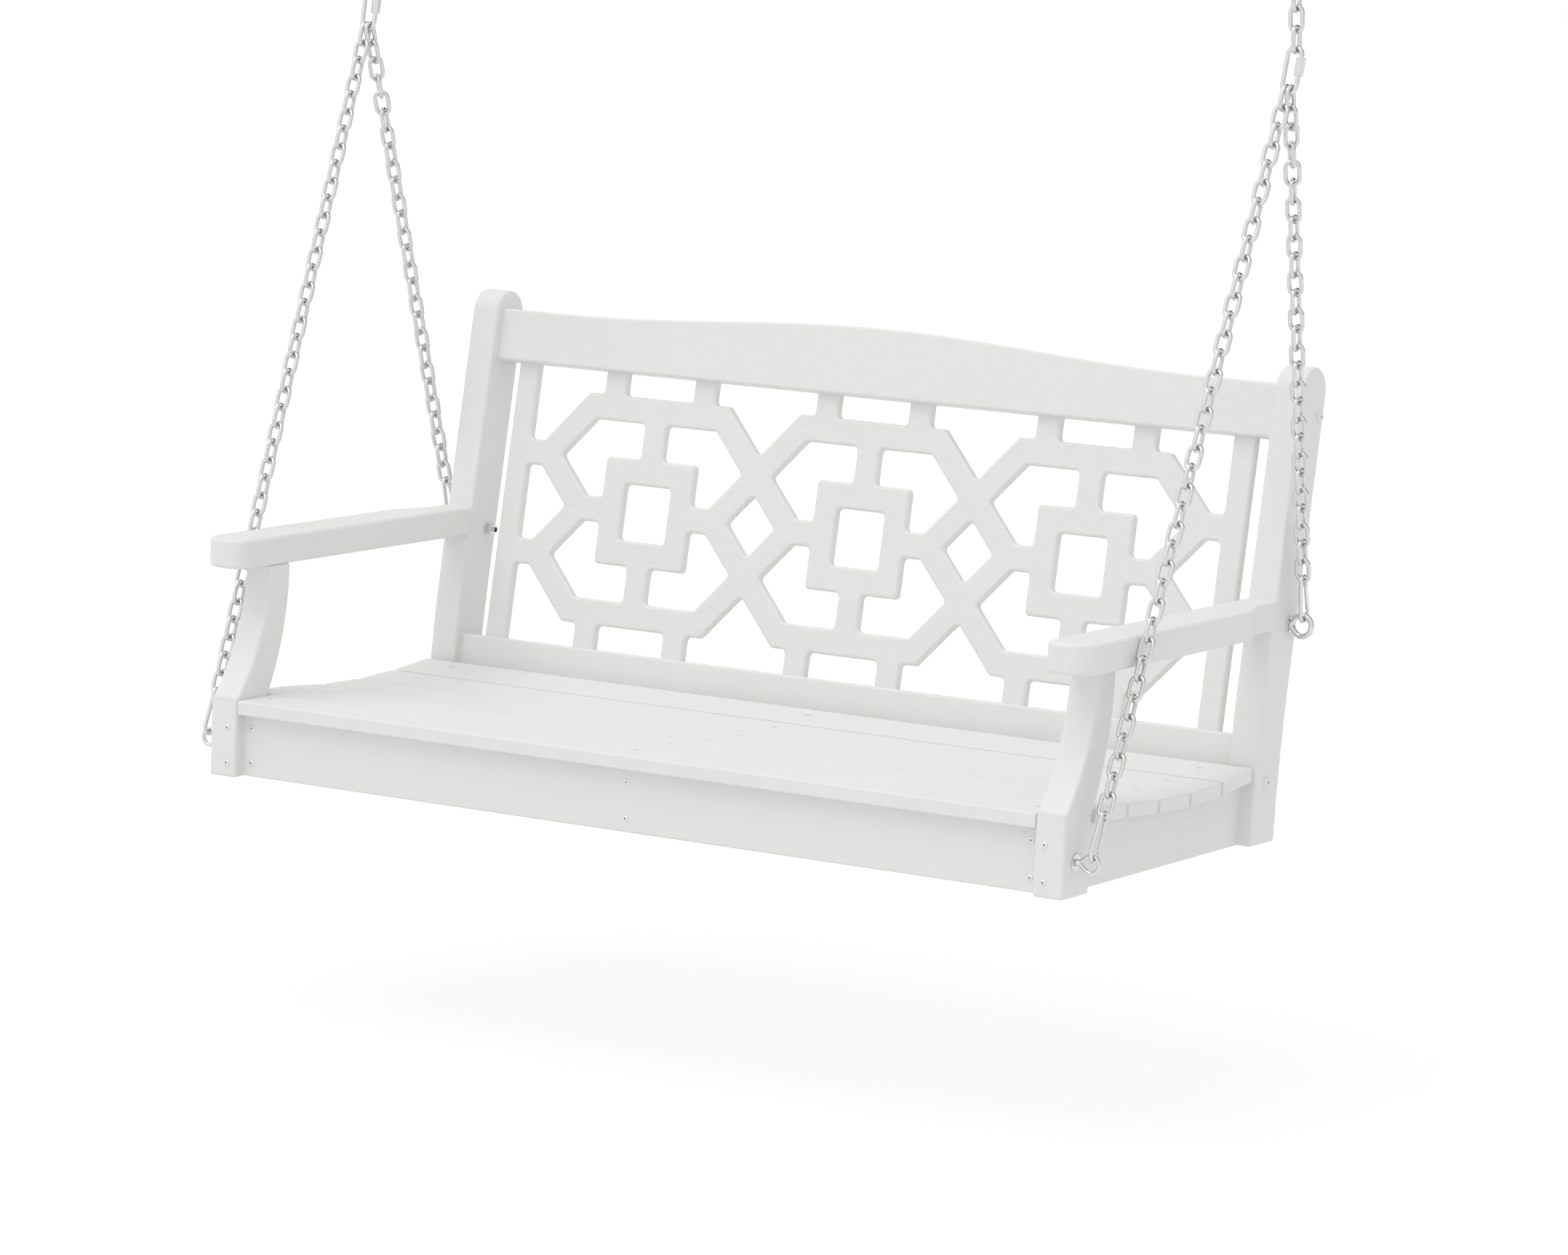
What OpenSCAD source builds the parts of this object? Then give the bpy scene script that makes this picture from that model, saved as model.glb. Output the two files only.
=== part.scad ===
// Hanging porch swing seat with a pierced lattice back, two armrests and
// chains from the ceiling. Millimetres, +Z up, the seat faces -Y, +X is to
// the right of someone looking at its front. The origin is midway between
// the two ceiling eyes, on the ceiling. Sizes inside the modules are given
// from the seat's own ground corner: y = 0 at the front posts' front faces
// and z = 0 at the posts' lower ends.

/* [Seat] */
// Clear width between the two front posts
seat_w = 1163; // [1120:1:1220]
// Width of each post across the swing
post_w = 40; // [36:1:46]
// Depth of each front post at its lower end, front to back
post_d = 63; // [58:1:68]
// Thickness of the seat slats
slat_t = 18; // [16:0.5:20]
// Width of each seat slat, front to back
slat_w = 74; // [70:0.5:76]
// Distance from one slat's front edge to the next one's
slat_pitch = 79.6; // [79:0.1:80.2]
// Rounding of the slats' long edges
slat_r = 5; // [3:0.5:7]
// Height of the front slat's top above the posts' lower ends
seat_h = 99; // [97:0.5:101]

/* [Back] */
// Backward lean of the back, in degrees
lean = 10; // [9.5:0.1:10.5]
// Thickness of the pierced back panel
panel_t = 13.6; // [12:0.2:14]
// Width of every bar of the lattice
bar_w = 34; // [30:0.5:36]
// Slope of the lattice's slanting bars, in degrees
bar_slope = 48; // [47:0.2:49]
// Height of the top rail at its ends
top_rail_h = 68.6; // [64:0.2:72]
// Rise of the top rail's crown above its ends
crown_h = 20.4; // [10:0.2:26]
// Thickness of the two back rails, front to back
rail_t = 48.2; // [46:0.2:49]

/* [Armrests] */
// Width of the armrest board
arm_w = 62.5; // [60:0.5:62.5]
// Thickness of the armrest board
arm_t = 37.5; // [34:0.5:40]
// Height of the armrest's underside above the posts' lower ends
arm_z = 265.2; // [262:0.2:268]

/* [Chains] */
// Wire diameter of the four seat chains
chain_d = 4.76; // [4.5:0.02:4.8]
// Inside length of each seat chain link
chain_in = 23.95; // [23.8:0.05:24.2]
// Outside width of each seat chain link
chain_w = 17.3; // [16.8:0.1:18]
// Wire diameter of the two short upper chains
upper_d = 5.6; // [5:0.1:6]
// Inside length of each upper chain link
upper_in = 25; // [24:0.1:26]
// How far outside the posts' outer faces each ceiling eye stands
eye_out = 53.5; // [51:0.5:57]

/* [Hidden] */
e = 0.01;
// How far bores and cuts run past a face
over = 1;
// Play between pieces of hardware that hang in each other, and that of the
// seat chains' end links on the sloping sides of a quick link's bend
play = 0.3;
hang_play = 1.5;
// Gap where one board butts against another's curved edge
butt = 0.2;
// Radial clearance of a screw or bolt in its bore, and of a running pin
fit = 0.05;
run_fit = 0.1;
// Half widths across the swing: the posts' inner and outer faces
xi = seat_w / 2;
xo = xi + post_w;
mid_x = xi + post_w / 2;
// Number of the last slat, and the depth of all the slats together
slat_last = 5;
seat_depth = slat_last * slat_pitch + slat_w;
// Centre of the back posts' curved edges, the front edge's radius and the
// posts' depth. The curve comes forward to the last slat's rear edge
bend_z = -67.2;
brace_r = 1629.9;
bend_y = seat_depth + brace_r;
back_d = 62.4;
bend_r = brace_r - back_d;
// Centre of the back post's round head
head_z = 555;
// Front posts' curved front and rear edges: radius, height of the centre
// and height at which the curve leaves the straight foot
brow_z = 278.5;
brow_r = 276.8;
brow_foot = 97.5;
brow_y = -sqrt(pow(brow_r, 2) - pow(brow_z - brow_foot, 2));
nape_z = 262.2;
nape_r = 343;
nape_foot = 92.5;
nape_y = post_d - sqrt(pow(nape_r, 2) - pow(nape_z - nape_foot, 2));
// Middle of the back panel's front face, where the back's own frame sits
back_z = 314.7;
back_set = 24.6;
back_y = post_front(back_z) + back_set;
// The back's own frame: rails start this far in front of the panel
rail_y = -11.6;
rail_low = 183;
sill_top = -184.5;
sill_low = -286;
groove = 27;
// Lattice, from the middle of each of the three repeats
edge_in = xi - 61;
edge_out = xi - 29;
repeat_end = 30;
pitch = 2 * (edge_in - repeat_end) / 3;
half_w = 35.5;
half_h = 37.1;
bar_v = 135.3;
cross_v = 66.2;
panel_v = rail_low + groove - 1;
hole_v = panel_v - 12;
hole_r = 6;
// Slats' top faces: height at the front edge and at the rear edge
slat_front = [0, 0, -2.9, -9.9, -11.1, -6.9];
slat_rear = [0, -1.8, -8.1, -9.8, -7.3, 0.1];
slat_half = xo - 2;
// Side rails, inner ribs and front apron
side_in = xi + 0.5;
side_t = 20;
rib_x = xi - 17.5;
rib_t = 20;
rib_foot = 4;
rib_heel = 38;
rib_toe = 12;
slat_play = 0.3;
apron_y = 16.5;
apron_t = 19;
apron_foot = 1;
// Armrest plan: corner radii, where the outer edge scoops in, and how far
// the board runs past the slats before the back post's edge cuts it off
arm_in = xi - 1.5;
arm_r_in = 20;
arm_r_out = 28;
arm_scoop = arm_in + arm_w - xo - 1;
scoop_y = seat_depth - 74;
scoop_l = 76;
arm_end = seat_depth + 48;
// Dowels, bolts, screws and nuts; a bite is the length in the second board
dowel_r = 5;
dowel_y = 86;
dowel_l = 48;
dowel_bite = 19;
bolt_r = 4;
bolt_head_r = 7.8;
bolt_head_h = 4;
bolt_top_r = 5.2;
bolt_key_r = 2;
bolt_bite = 60;
top_bolt = [25.2, 217.3];
sill_bolt = [8.4, -239.2];
screw_r = 2.2;
screw_head_r = 3.9;
screw_head_h = 2;
screw_bite = 42;
apron_bite = 24;
rib_bite = 26;
arm_bite = 41;
arm_screw_x = 10;
arm_screw_z = arm_z + 12;
slat_screw_r = 1.8;
slat_screw_l = 38;
slat_head_r = 4;
slat_head_h = 1.4;
slat_head_down = 2;
slat_head_play = 0.1;
post_screw_x = xi + 13.5;
apron_screw_x = rib_x + 4;
slat_screw_x = [3 - rib_x, -5, rib_x - 3];
slat_screw_back = 8;
rib_screw_v = [-268, -250];
screw_hi = 63.5;
screw_lo = 18.5;
// Eye bolts: wire, ring radius, middle of the ring and of the shank. The
// rear eyes stand behind the slats by eye_back
front_eye_d = 5;
front_eye_r = 9.75;
front_eye = [xo + 23.9, 28, 42];
rear_eye_d = 6.9;
rear_eye_r = 12.4;
eye_back = 77.5;
rear_eye = [xo + 19.3, seat_depth + eye_back, 269.6];
// Where the front shank ends in its post, and how far the rear one runs
// past the inner face for its nut
front_shank_x = xi + 5;
rear_shank_out = 13;
washer_t = 1.4;
washer_r = 10.5;
back_washer_r = 8.5;
nut_play = 0.1;
// Snap hooks: wire, wide and narrow bend radii, distance between bends
hook_d = 5;
hook_wide = 9;
hook_tight = 5.3;
hook_len = 44.7;
hook_turn = asin((hook_wide - hook_tight) / hook_len);
gate_r = 2.2;
pin_r = 1.1;
pin_v = hook_len - 3.5;
pin_w = 5.6;
// Quick links: wire, bend radius and inside length
quick_d = 6;
quick_r = 9.25;
quick_in = 49;
quick_leg = quick_in - 2 * quick_r + quick_d;
sleeve_l = 22;
sleeve_top = quick_leg / 2 - 2.5;
sleeve_travel = 9.5;
// The way each quick link and each upper chain leans, on the right side
quick_dir = [0.041, 0.202, 0.978];
upper_dir = [-0.02, -0.052, 0.998];
upper_r = 7.9;
upper_n = 3;
upper_step = upper_in - play;
upper_first = (upper_in + upper_d) / 2 - (quick_d + upper_d) / 2 - play;
// Ceiling eyes: wire, ring radius, and the way up from the quick link
eye_d = 8;
eye_r = 14;
eye_s = upper_first + (upper_n - 1) * upper_step + (upper_in + upper_d) / 2
    - (upper_d + eye_d) / 2 - play;
// Middles of the quick link's two bends and of the ceiling eye's wire
quick_rise = quick_dir * (quick_in + quick_d);
eye_rise = upper_dir * eye_s;
apex_y = 372.7;
apex_z = 933.5;
apex = [xo + eye_out - quick_rise[0] - eye_rise[0], apex_y, apex_z];
quick_top = apex + quick_rise;
ceiling_eye = quick_top + eye_rise;
collar_gap = 6;
collar_t = 4;
collar_r = 12;
neck_low_r = 4.2;
neck_top_r = 6.5;
ceiling_z = ceiling_eye[2] + 2 * eye_r + collar_gap + collar_t;
shank_r = 5;
shank_l = 70;
// Seat chains: bend radius, side offset on the quick link, and how many
// links share a quarter twist
chain_r = (chain_w - chain_d) / 2;
side_step = 2.9;
twist_links = 6;

// ---- helpers ----

// Moves the seat's ground corner frame to the ceiling origin
module placed() {
    translate([0, -ceiling_eye[1], -ceiling_z])
        children();
}

module other_side() {
    mirror([1, 0, 0])
        children();
}

// Stands a flat (y, z) outline up and gives it a thickness along X
module side_board(x0, x1) {
    translate([x0, 0, 0])
        rotate([90, 0, 90])
            linear_extrude(x1 - x0)
                children();
}

// The back's own frame: x across, y through the panel, z up the slope
module back_frame() {
    translate([0, back_y, back_z])
        rotate([-lean, 0, 0])
            children();
}

// Stands a flat (x, z) outline up and gives it a thickness along Y
module face_board(y0, y1) {
    translate([0, y1, 0])
        rotate([90, 0, 0])
            linear_extrude(y1 - y0)
                children();
}

// Points of an arc about c, from angle a0 to a1
function arc(c, r, a0, a1, n) = [
    for (i = [0:n])
        c + r * [cos(a0 + (a1 - a0) * i / n), sin(a0 + (a1 - a0) * i / n)]
];

function unit(v) = v / norm(v);

// An outline with each corner turned into an arc of radius r
function eased(p, r, n = 4) = [
    for (i = [0:len(p) - 1])
        let (
            a = p[(i + len(p) - 1) % len(p)],
            b = p[i],
            c = p[(i + 1) % len(p)],
            u = unit(a - b),
            v = unit(c - b),
            half = acos(max(-1, min(1, u * v))) / 2,
            far = r / tan(half),
            m = b + unit(u + v) * r / sin(half),
            s = b + u * far - m,
            t = b + v * far - m,
            a0 = atan2(s[1], s[0]),
            a1 = atan2(t[1], t[0]),
            turn = (a1 - a0 + 540) % 360 - 180
        )
        for (k = [0:n])
            m + r * [cos(a0 + turn * k / n), sin(a0 + turn * k / n)]
];

function flip_u(p, s) = [for (q = p) [q[0] * s[0], q[1] * s[1]]];
function shift_u(p, d) = [for (q = p) [q[0] + d, q[1]]];

// The back post's front edge: y at height z
function post_front(z) =
    z < bend_z + brace_r * sin(lean)
    ? bend_y - sqrt(pow(brace_r, 2) - pow(z - bend_z, 2))
    : bend_y - brace_r * cos(lean)
        + (z - bend_z - brace_r * sin(lean)) * tan(lean);

// The back post's rear edge, where it is still curved: y at height z
function post_rear(z) = bend_y - sqrt(pow(bend_r, 2) - pow(z - bend_z, 2));

// The back's sloping plane at depth d: y at height z
function back_plane(d, z) = back_y + d / cos(lean) + (z - back_z) * tan(lean);

// Points a child's Z axis along v, keeping its X axis level in Y
module aim(p, v) {
    u = unit(v);
    translate(p)
        rotate([-asin(u[1]), atan2(u[0], u[2]), 0])
            children();
}

module ring_arc(r, d, a0, a1) {
    rotate([90, 0, 0])
        rotate([0, 0, a0])
            rotate_extrude(angle = a1 - a0, $fn = 48)
                translate([r, 0])
                    circle(d = d, $fn = 24);
}

module rod(p, q, r) {
    aim(p, q - p)
        cylinder(h = norm(q - p), r = r, $fn = 24);
}

// One chain link: long axis Z, lying in the XZ plane
module chain_link(r, d, inside) {
    leg = inside - 2 * r + d;
    translate([0, 0, leg / 2])
        ring_arc(r, d, 0, 180);
    translate([0, 0, -leg / 2])
        ring_arc(r, d, 180, 360);
    for (s = [-1, 1])
        translate([s * r, 0, -leg / 2])
            cylinder(h = leg, d = d, $fn = 24);
}

// ---- posts ----

module front_post_right() {
    a0 = asin((brow_foot - brow_z) / brow_r);
    a1 = asin((arm_z - brow_z) / brow_r);
    b0 = asin((nape_foot - nape_z) / nape_r);
    b1 = asin((arm_z - nape_z) / nape_r);
    color([0.9, 0.9, 0.89])
        difference() {
            side_board(xi, xo)
                polygon(concat(
                    [[0, 0]],
                    arc([brow_y, brow_z], brow_r, a0, a1, 20),
                    arc([nape_y, nape_z], nape_r, b1, b0, 20),
                    [[post_d, 0]]
                ));
            // Bores for the two long screws and the eye bolt
            for (z = [screw_lo, screw_hi])
                translate([post_screw_x, -over, z])
                    rotate([-90, 0, 0])
                        cylinder(h = post_d + 2 * over, r = screw_r + fit, $fn = 24);
            translate([front_shank_x - over, front_eye[1], front_eye[2]])
                rotate([0, 90, 0])
                    cylinder(h = post_w, r = front_eye_d / 2 + fit, $fn = 24);
            // Socket for the armrest dowel
            translate([mid_x, dowel_y, arm_z - dowel_l + dowel_bite - over])
                cylinder(h = dowel_l, r = dowel_r + fit, $fn = 24);
        }
}

module front_post_left() {
    other_side()
        front_post_right();
}

module back_post_right() {
    f0 = 180 - asin(-bend_z / brace_r);
    g0 = 180 - asin(-bend_z / bend_r);
    mid_r = bend_r + back_d / 2;
    run = (head_z - bend_z - mid_r * sin(lean)) / cos(lean);
    head = [bend_y, bend_z] + mid_r * [-cos(lean), sin(lean)]
        + run * [sin(lean), cos(lean)];
    color([0.9, 0.9, 0.89])
        difference() {
            side_board(xi, xo)
                polygon(concat(
                    arc([bend_y, bend_z], brace_r, f0, 180 - lean, 14),
                    arc(head, back_d / 2, 180 - lean, -lean, 28),
                    arc([bend_y, bend_z], bend_r, 180 - lean, g0, 14)
                ));
            // Bores for the two rail bolts and the eye bolt
            back_frame()
                for (b = [top_bolt, sill_bolt])
                    translate([xi - over, b[0], b[1]])
                        rotate([0, 90, 0])
                            cylinder(h = post_w + 2 * over, r = bolt_r + fit, $fn = 32);
            translate([xi - over, rear_eye[1], rear_eye[2]])
                rotate([0, 90, 0])
                    cylinder(h = post_w + 2 * over, r = rear_eye_d / 2 + fit, $fn = 32);
            // Bores for the two screws into the side rail
            for (z = [screw_lo, screw_hi])
                translate([post_screw_x, post_front(z) - over, z])
                    rotate([-90, 0, 0])
                        cylinder(h = back_d + 4 * over, r = screw_r + fit, $fn = 24);
            // Bores for the two screws into the armrest's end
            for (x = [-arm_screw_x, arm_screw_x])
                translate([mid_x + x, post_front(arm_screw_z) - over, arm_screw_z])
                    rotate([-90, 0, 0])
                        cylinder(h = back_d + 4 * over, r = screw_r + fit, $fn = 24);
        }
}

module back_post_left() {
    other_side()
        back_post_right();
}

// ---- armrests ----

// The armrest seen from above: round front corners, scooped outer rear
module arm_plan() {
    out = arm_in + arm_w;
    n = 14;
    polygon(concat(
        arc([arm_in + arm_r_in, arm_r_in], arm_r_in, 180, 270, 8),
        arc([out - arm_r_out, arm_r_out], arm_r_out, 270, 360, 10),
        [for (i = [0:n])
            [out - arm_scoop * (1 - cos(180 * i / n)) / 2, scoop_y + scoop_l * i / n]],
        [[xo, arm_end], [arm_in, arm_end]]
    ));
}

module armrest_right() {
    top = arm_z + arm_t;
    color([0.91, 0.91, 0.9])
        difference() {
            intersection() {
                translate([0, 0, arm_z])
                    linear_extrude(arm_t)
                        arm_plan();
                side_board(arm_in - over, arm_in + arm_w + over)
                    polygon([
                        [-over, arm_z - over],
                        [post_front(arm_z - over), arm_z - over],
                        [post_front(top + over), top + over],
                        [-over, top + over]
                    ]);
            }
            translate([mid_x, dowel_y, arm_z - over])
                cylinder(h = dowel_bite + 2 * over, r = dowel_r + fit, $fn = 24);
            for (x = [-arm_screw_x, arm_screw_x])
                translate([mid_x + x, post_front(arm_screw_z) - arm_bite - 4 * over, arm_screw_z])
                    rotate([-90, 0, 0])
                        cylinder(h = arm_bite + 20 * over, r = screw_r + fit, $fn = 24);
        }
}

module armrest_left() {
    other_side()
        armrest_right();
}

// ---- back ----

// The top rail's outline: flat ends and a crown that swells in the middle
module crown_outline() {
    n = 44;
    span = seat_w * 0.4127;
    top = rail_low + top_rail_h;
    polygon(concat(
        [[-xi, rail_low], [xi, rail_low], [xi, top]],
        [for (i = [0:n])
            let (u = span * (1 - 2 * i / n))
            [u, top + crown_h * (1 + cos(180 * u / span)) / 2]],
        [[-xi, top]]
    ));
}

module top_rail() {
    color([0.91, 0.91, 0.9])
        back_frame()
            difference() {
                face_board(rail_y, rail_y + rail_t)
                    crown_outline();
                translate([-edge_out - over, -fit, rail_low - over])
                    cube([2 * (edge_out + over), panel_t + 2 * fit, groove + over]);
                for (s = [-1, 1])
                    translate([s * (xi + over), top_bolt[0], top_bolt[1]])
                        rotate([0, -90 * s, 0])
                            cylinder(h = bolt_bite + 2 * over, r = bolt_r + fit, $fn = 32);
            }
}

module lower_back_rail() {
    color([0.91, 0.91, 0.9])
        back_frame()
            difference() {
                translate([-xi, rail_y, sill_low])
                    cube([2 * xi, rail_t, sill_top - sill_low]);
                translate([-edge_out - over, -fit, sill_top - groove])
                    cube([2 * (edge_out + over), panel_t + 2 * fit, groove + over]);
                for (s = [-1, 1])
                    translate([s * (xi + over), sill_bolt[0], sill_bolt[1]])
                        rotate([0, -90 * s, 0])
                            cylinder(h = bolt_bite + 2 * over, r = bolt_r + fit, $fn = 32);
                for (x = [-rib_x, 0, rib_x])
                    rib_bores(x, rail_y - over, rail_t + 2 * over);
            }
}

// Bores for a rib's two screws, from depth y0 on, in the back's frame
module rib_bores(x, y0, l) {
    for (v = rib_screw_v)
        translate([x, y0, v])
            rotate([-90, 0, 0])
                cylinder(h = l, r = screw_r + fit, $fn = 24);
}

// Lattice openings, each one an outline with eased corners
m = tan(bar_slope);
slant = bar_w / 2 / cos(bar_slope);
b_in = bar_v - bar_w / 2;
b_out = bar_v + bar_w / 2;
c_in = pitch / 2 - (b_in - cross_v + slant) / m;
c_out = pitch / 2 - (b_out - cross_v - slant) / m;
x_arm = pitch / 2 - (cross_v - bar_w / 2 + slant) / m;
ring_w = half_w + bar_w;
ring_h = half_h + bar_w;
// The two stubs of a repeat that run on into each rail
stub_in = ring_w - bar_w / 2;
stub_out = stub_in + bar_w;
// Where the two slanting bars' inner edges meet, beside a repeat
tip_u = pitch / 2 - slant / m;

function pocket() = [
    [bar_w / 2, b_in], [bar_w / 2, ring_h], [ring_w, ring_h],
    [ring_w, bar_w / 2], [x_arm, bar_w / 2], [tip_u, cross_v], [c_in, b_in]
];
function window() = [
    [-half_w, half_h], [half_w, half_h], [half_w, -half_h], [-half_w, -half_h]
];
function stub_gap() = [
    [-stub_in, hole_v], [stub_in, hole_v], [stub_in, b_out], [-stub_in, b_out]
];
function valley() = [
    [pitch - stub_out, hole_v], [stub_out, hole_v],
    [stub_out, b_out], [c_out, b_out],
    [pitch / 2, cross_v + slant], [pitch - c_out, b_out],
    [pitch - stub_out, b_out]
];
function diamond() = [
    [pitch / 2, cross_v - slant], [pitch / 2 + (cross_v - slant) / m, 0],
    [pitch / 2, slant - cross_v], [pitch / 2 - (cross_v - slant) / m, 0]
];
function shoulder() = [
    [pitch + stub_out, hole_v], [edge_in, hole_v],
    [edge_in, cross_v + bar_w / 2],
    [pitch * 1.5 + (slant - bar_w / 2) / m, cross_v + bar_w / 2],
    [pitch + c_out, b_out], [pitch + stub_out, b_out]
];
function side_eye() = [
    [pitch * 1.5 - (cross_v - slant) / m, 0],
    [pitch * 1.5 + (slant - bar_w / 2) / m, cross_v - bar_w / 2],
    [edge_in, cross_v - bar_w / 2], [edge_in, bar_w / 2 - cross_v],
    [pitch * 1.5 + (slant - bar_w / 2) / m, bar_w / 2 - cross_v]
];

module opening(p) {
    polygon(eased(p, hole_r));
}

module lattice() {
    difference() {
        translate([-edge_out, -panel_v])
            square([2 * edge_out, 2 * panel_v]);
        for (k = [-1:1]) {
            translate([k * pitch, 0])
                opening(window());
            for (su = [-1, 1])
                for (sv = [-1, 1])
                    opening(shift_u(flip_u(pocket(), [su, sv]), k * pitch));
        }
        for (sv = [-1, 1]) {
            for (k = [-1:1])
                opening(shift_u(flip_u(stub_gap(), [1, sv]), k * pitch));
            for (k = [-1:0])
                opening(shift_u(flip_u(valley(), [1, sv]), k * pitch));
            for (su = [-1, 1])
                opening(flip_u(shoulder(), [su, sv]));
        }
        for (k = [-1:0])
            opening(shift_u(diamond(), k * pitch));
        for (su = [-1, 1])
            opening(flip_u(side_eye(), [su, 1]));
    }
}

module back_panel() {
    color([0.92, 0.92, 0.91])
        back_frame()
            face_board(0, panel_t)
                lattice();
}

// ---- seat frame ----

// Height of a slat's top face at its front (f = 0) or rear (f = 1) edge
function slat_y(k) = k * slat_pitch;
function slat_z(k, f) = seat_h + (f == 0 ? slat_front[k] : slat_rear[k]);
function slat_turn(k) = atan2(slat_rear[k] - slat_front[k], slat_w);

// The edge that carries slats k0 to the last, as (y, z) points from front to rear
function bearing(k0) = [
    for (k = [k0:slat_last])
        for (f = [0, 1])
            [slat_y(k) + f * slat_w, slat_z(k, f) - slat_t - slat_play]
];

module side_rail_right() {
    rise = bearing(1);
    last = rise[len(rise) - 1];
    color([0.9, 0.9, 0.89])
        difference() {
            side_board(side_in, side_in + side_t)
                polygon(concat(
                    [[post_d, 0], [post_d, rise[0][1]]],
                    rise,
                    [[post_front(last[1]) - butt, last[1]]],
                    [for (i = [1:6]) let (z = last[1] * (1 - i / 6))
                        [post_front(z) - butt, z]]
                ));
            for (z = [screw_lo, screw_hi])
                for (y = [post_d - over, post_front(z) - screw_bite - 2 * over])
                    translate([post_screw_x, y, z])
                        rotate([-90, 0, 0])
                            cylinder(h = screw_bite + 4 * over, r = screw_r + fit, $fn = 24);
        }
}

module side_rail_left() {
    other_side()
        side_rail_right();
}

// A rib under the slats, from the apron to the lower back rail
module rib(x, screw_x, pin_x) {
    rise = bearing(0);
    foot = rib_foot;
    start = apron_y + apron_t;
    last = rise[len(rise) - 1];
    end = back_plane(rail_y, last[1]);
    color([0.88, 0.88, 0.87])
        difference() {
            side_board(x - rib_t / 2, x + rib_t / 2)
                polygon(concat(
                    [[start, foot], [start, rise[0][1]]],
                    [for (i = [1:len(rise) - 1]) rise[i]],
                    [[end - butt / 2, last[1]],
                     [back_plane(rail_y, rib_heel) - butt / 2, rib_heel],
                     [back_plane(rail_y, rib_heel) - rib_toe, foot]]
                ));
            for (z = [screw_lo, screw_hi])
                translate([screw_x, start - over, z])
                    rotate([-90, 0, 0])
                        cylinder(h = apron_bite + 4 * over, r = screw_r + fit, $fn = 24);
            back_frame()
                rib_bores(x, rail_y - rib_bite - 2 * over, rib_bite + 3 * over);
            for (k = [0:slat_last])
                at_slat(k)
                    translate([pin_x, 0, -slat_screw_l - slat_head_down - 4 * over])
                        cylinder(h = slat_screw_l, r = slat_screw_r + fit, $fn = 24);
        }
}

module seat_rib_right() {
    rib(rib_x, apron_screw_x, slat_screw_x[2]);
}

module seat_rib_left() {
    other_side()
        seat_rib_right();
}

module seat_rib_centre() {
    rib(0, 0, slat_screw_x[1]);
}

module front_apron() {
    color([0.91, 0.91, 0.9])
        difference() {
            translate([-xi, apron_y, apron_foot])
                cube([2 * xi, apron_t, seat_h - slat_t - slat_play - apron_foot]);
            for (x = [-apron_screw_x, 0, apron_screw_x])
                for (z = [screw_lo, screw_hi])
                    translate([x, apron_y - over, z])
                        rotate([-90, 0, 0])
                            cylinder(h = apron_t + 2 * over, r = screw_r + fit, $fn = 24);
        }
}

// The middle of slat k's top face, a little behind its centre line
module at_slat(k) {
    zf = slat_z(k, 0);
    zr = slat_z(k, 1);
    translate([0, slat_y(k) + slat_w / 2, (zf + zr) / 2])
        rotate([slat_turn(k), 0, 0])
            translate([0, slat_screw_back, 0])
                children();
}

// One slat: rounded long edges and rounded corners at both ends
module slat(k, half) {
    zf = slat_z(k, 0);
    zr = slat_z(k, 1);
    box = [[0, -slat_t], [slat_w, -slat_t], [slat_w, 0], [0, 0]];
    color([0.92, 0.92, 0.91])
        difference() {
            translate([0, slat_y(k) + slat_w / 2, (zf + zr) / 2])
                rotate([slat_turn(k), 0, 0])
                    translate([0, -slat_w / 2, 0])
                        side_board(-half, half)
                            polygon(eased(box, slat_r, 6));
            for (x = slat_screw_x)
                at_slat(k)
                    translate([x, 0, -slat_t - over]) {
                        cylinder(h = slat_t + 2 * over, r = slat_screw_r + fit, $fn = 24);
                        translate([0, 0, slat_t + over - slat_head_down])
                            cylinder(h = 4, r = slat_head_r + slat_head_play, $fn = 32);
                    }
        }
}

module seat_slat_1() {
    slat(0, xi - 0.5);
}

module seat_slat_2() {
    slat(1, slat_half);
}

module seat_slat_3() {
    slat(2, slat_half);
}

module seat_slat_4() {
    slat(3, slat_half);
}

module seat_slat_5() {
    slat(4, slat_half);
}

module seat_slat_6() {
    slat(5, slat_half);
}

// ---- fasteners ----

// A screw along Z with its head's underside at z = 0
module screw(head_r, head_h, r, l) {
    translate([0, 0, -l])
        cylinder(h = l + e, r = r, $fn = 24);
    cylinder(h = head_h, r1 = head_r, r2 = head_r * 0.72, $fn = 32);
}

module slat_screws() {
    color([0.8, 0.8, 0.8])
        for (k = [0:slat_last])
            for (x = slat_screw_x)
                at_slat(k)
                    translate([x, 0, -slat_head_down]) {
                        cylinder(h = slat_head_h, r = slat_head_r, $fn = 32);
                        translate([0, 0, -slat_screw_l])
                            cylinder(h = slat_screw_l + e, r = slat_screw_r, $fn = 24);
                    }
}

module frame_screws() {
    color([0.75, 0.75, 0.76])
        for (z = [screw_lo, screw_hi]) {
            for (s = [-1, 1]) {
                translate([s * post_screw_x, 0, z])
                    rotate([90, 0, 0])
                        screw(screw_head_r, screw_head_h, screw_r, post_d + screw_bite);
                translate([s * post_screw_x, post_rear(z) + 2 * butt, z])
                    rotate([-90, 0, 0])
                        screw(screw_head_r, screw_head_h, screw_r, back_d + screw_bite);
            }
            for (x = [-apron_screw_x, 0, apron_screw_x])
                translate([x, apron_y, z])
                    rotate([90, 0, 0])
                        screw(screw_head_r, screw_head_h, screw_r, apron_t + apron_bite);
        }
}

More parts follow.
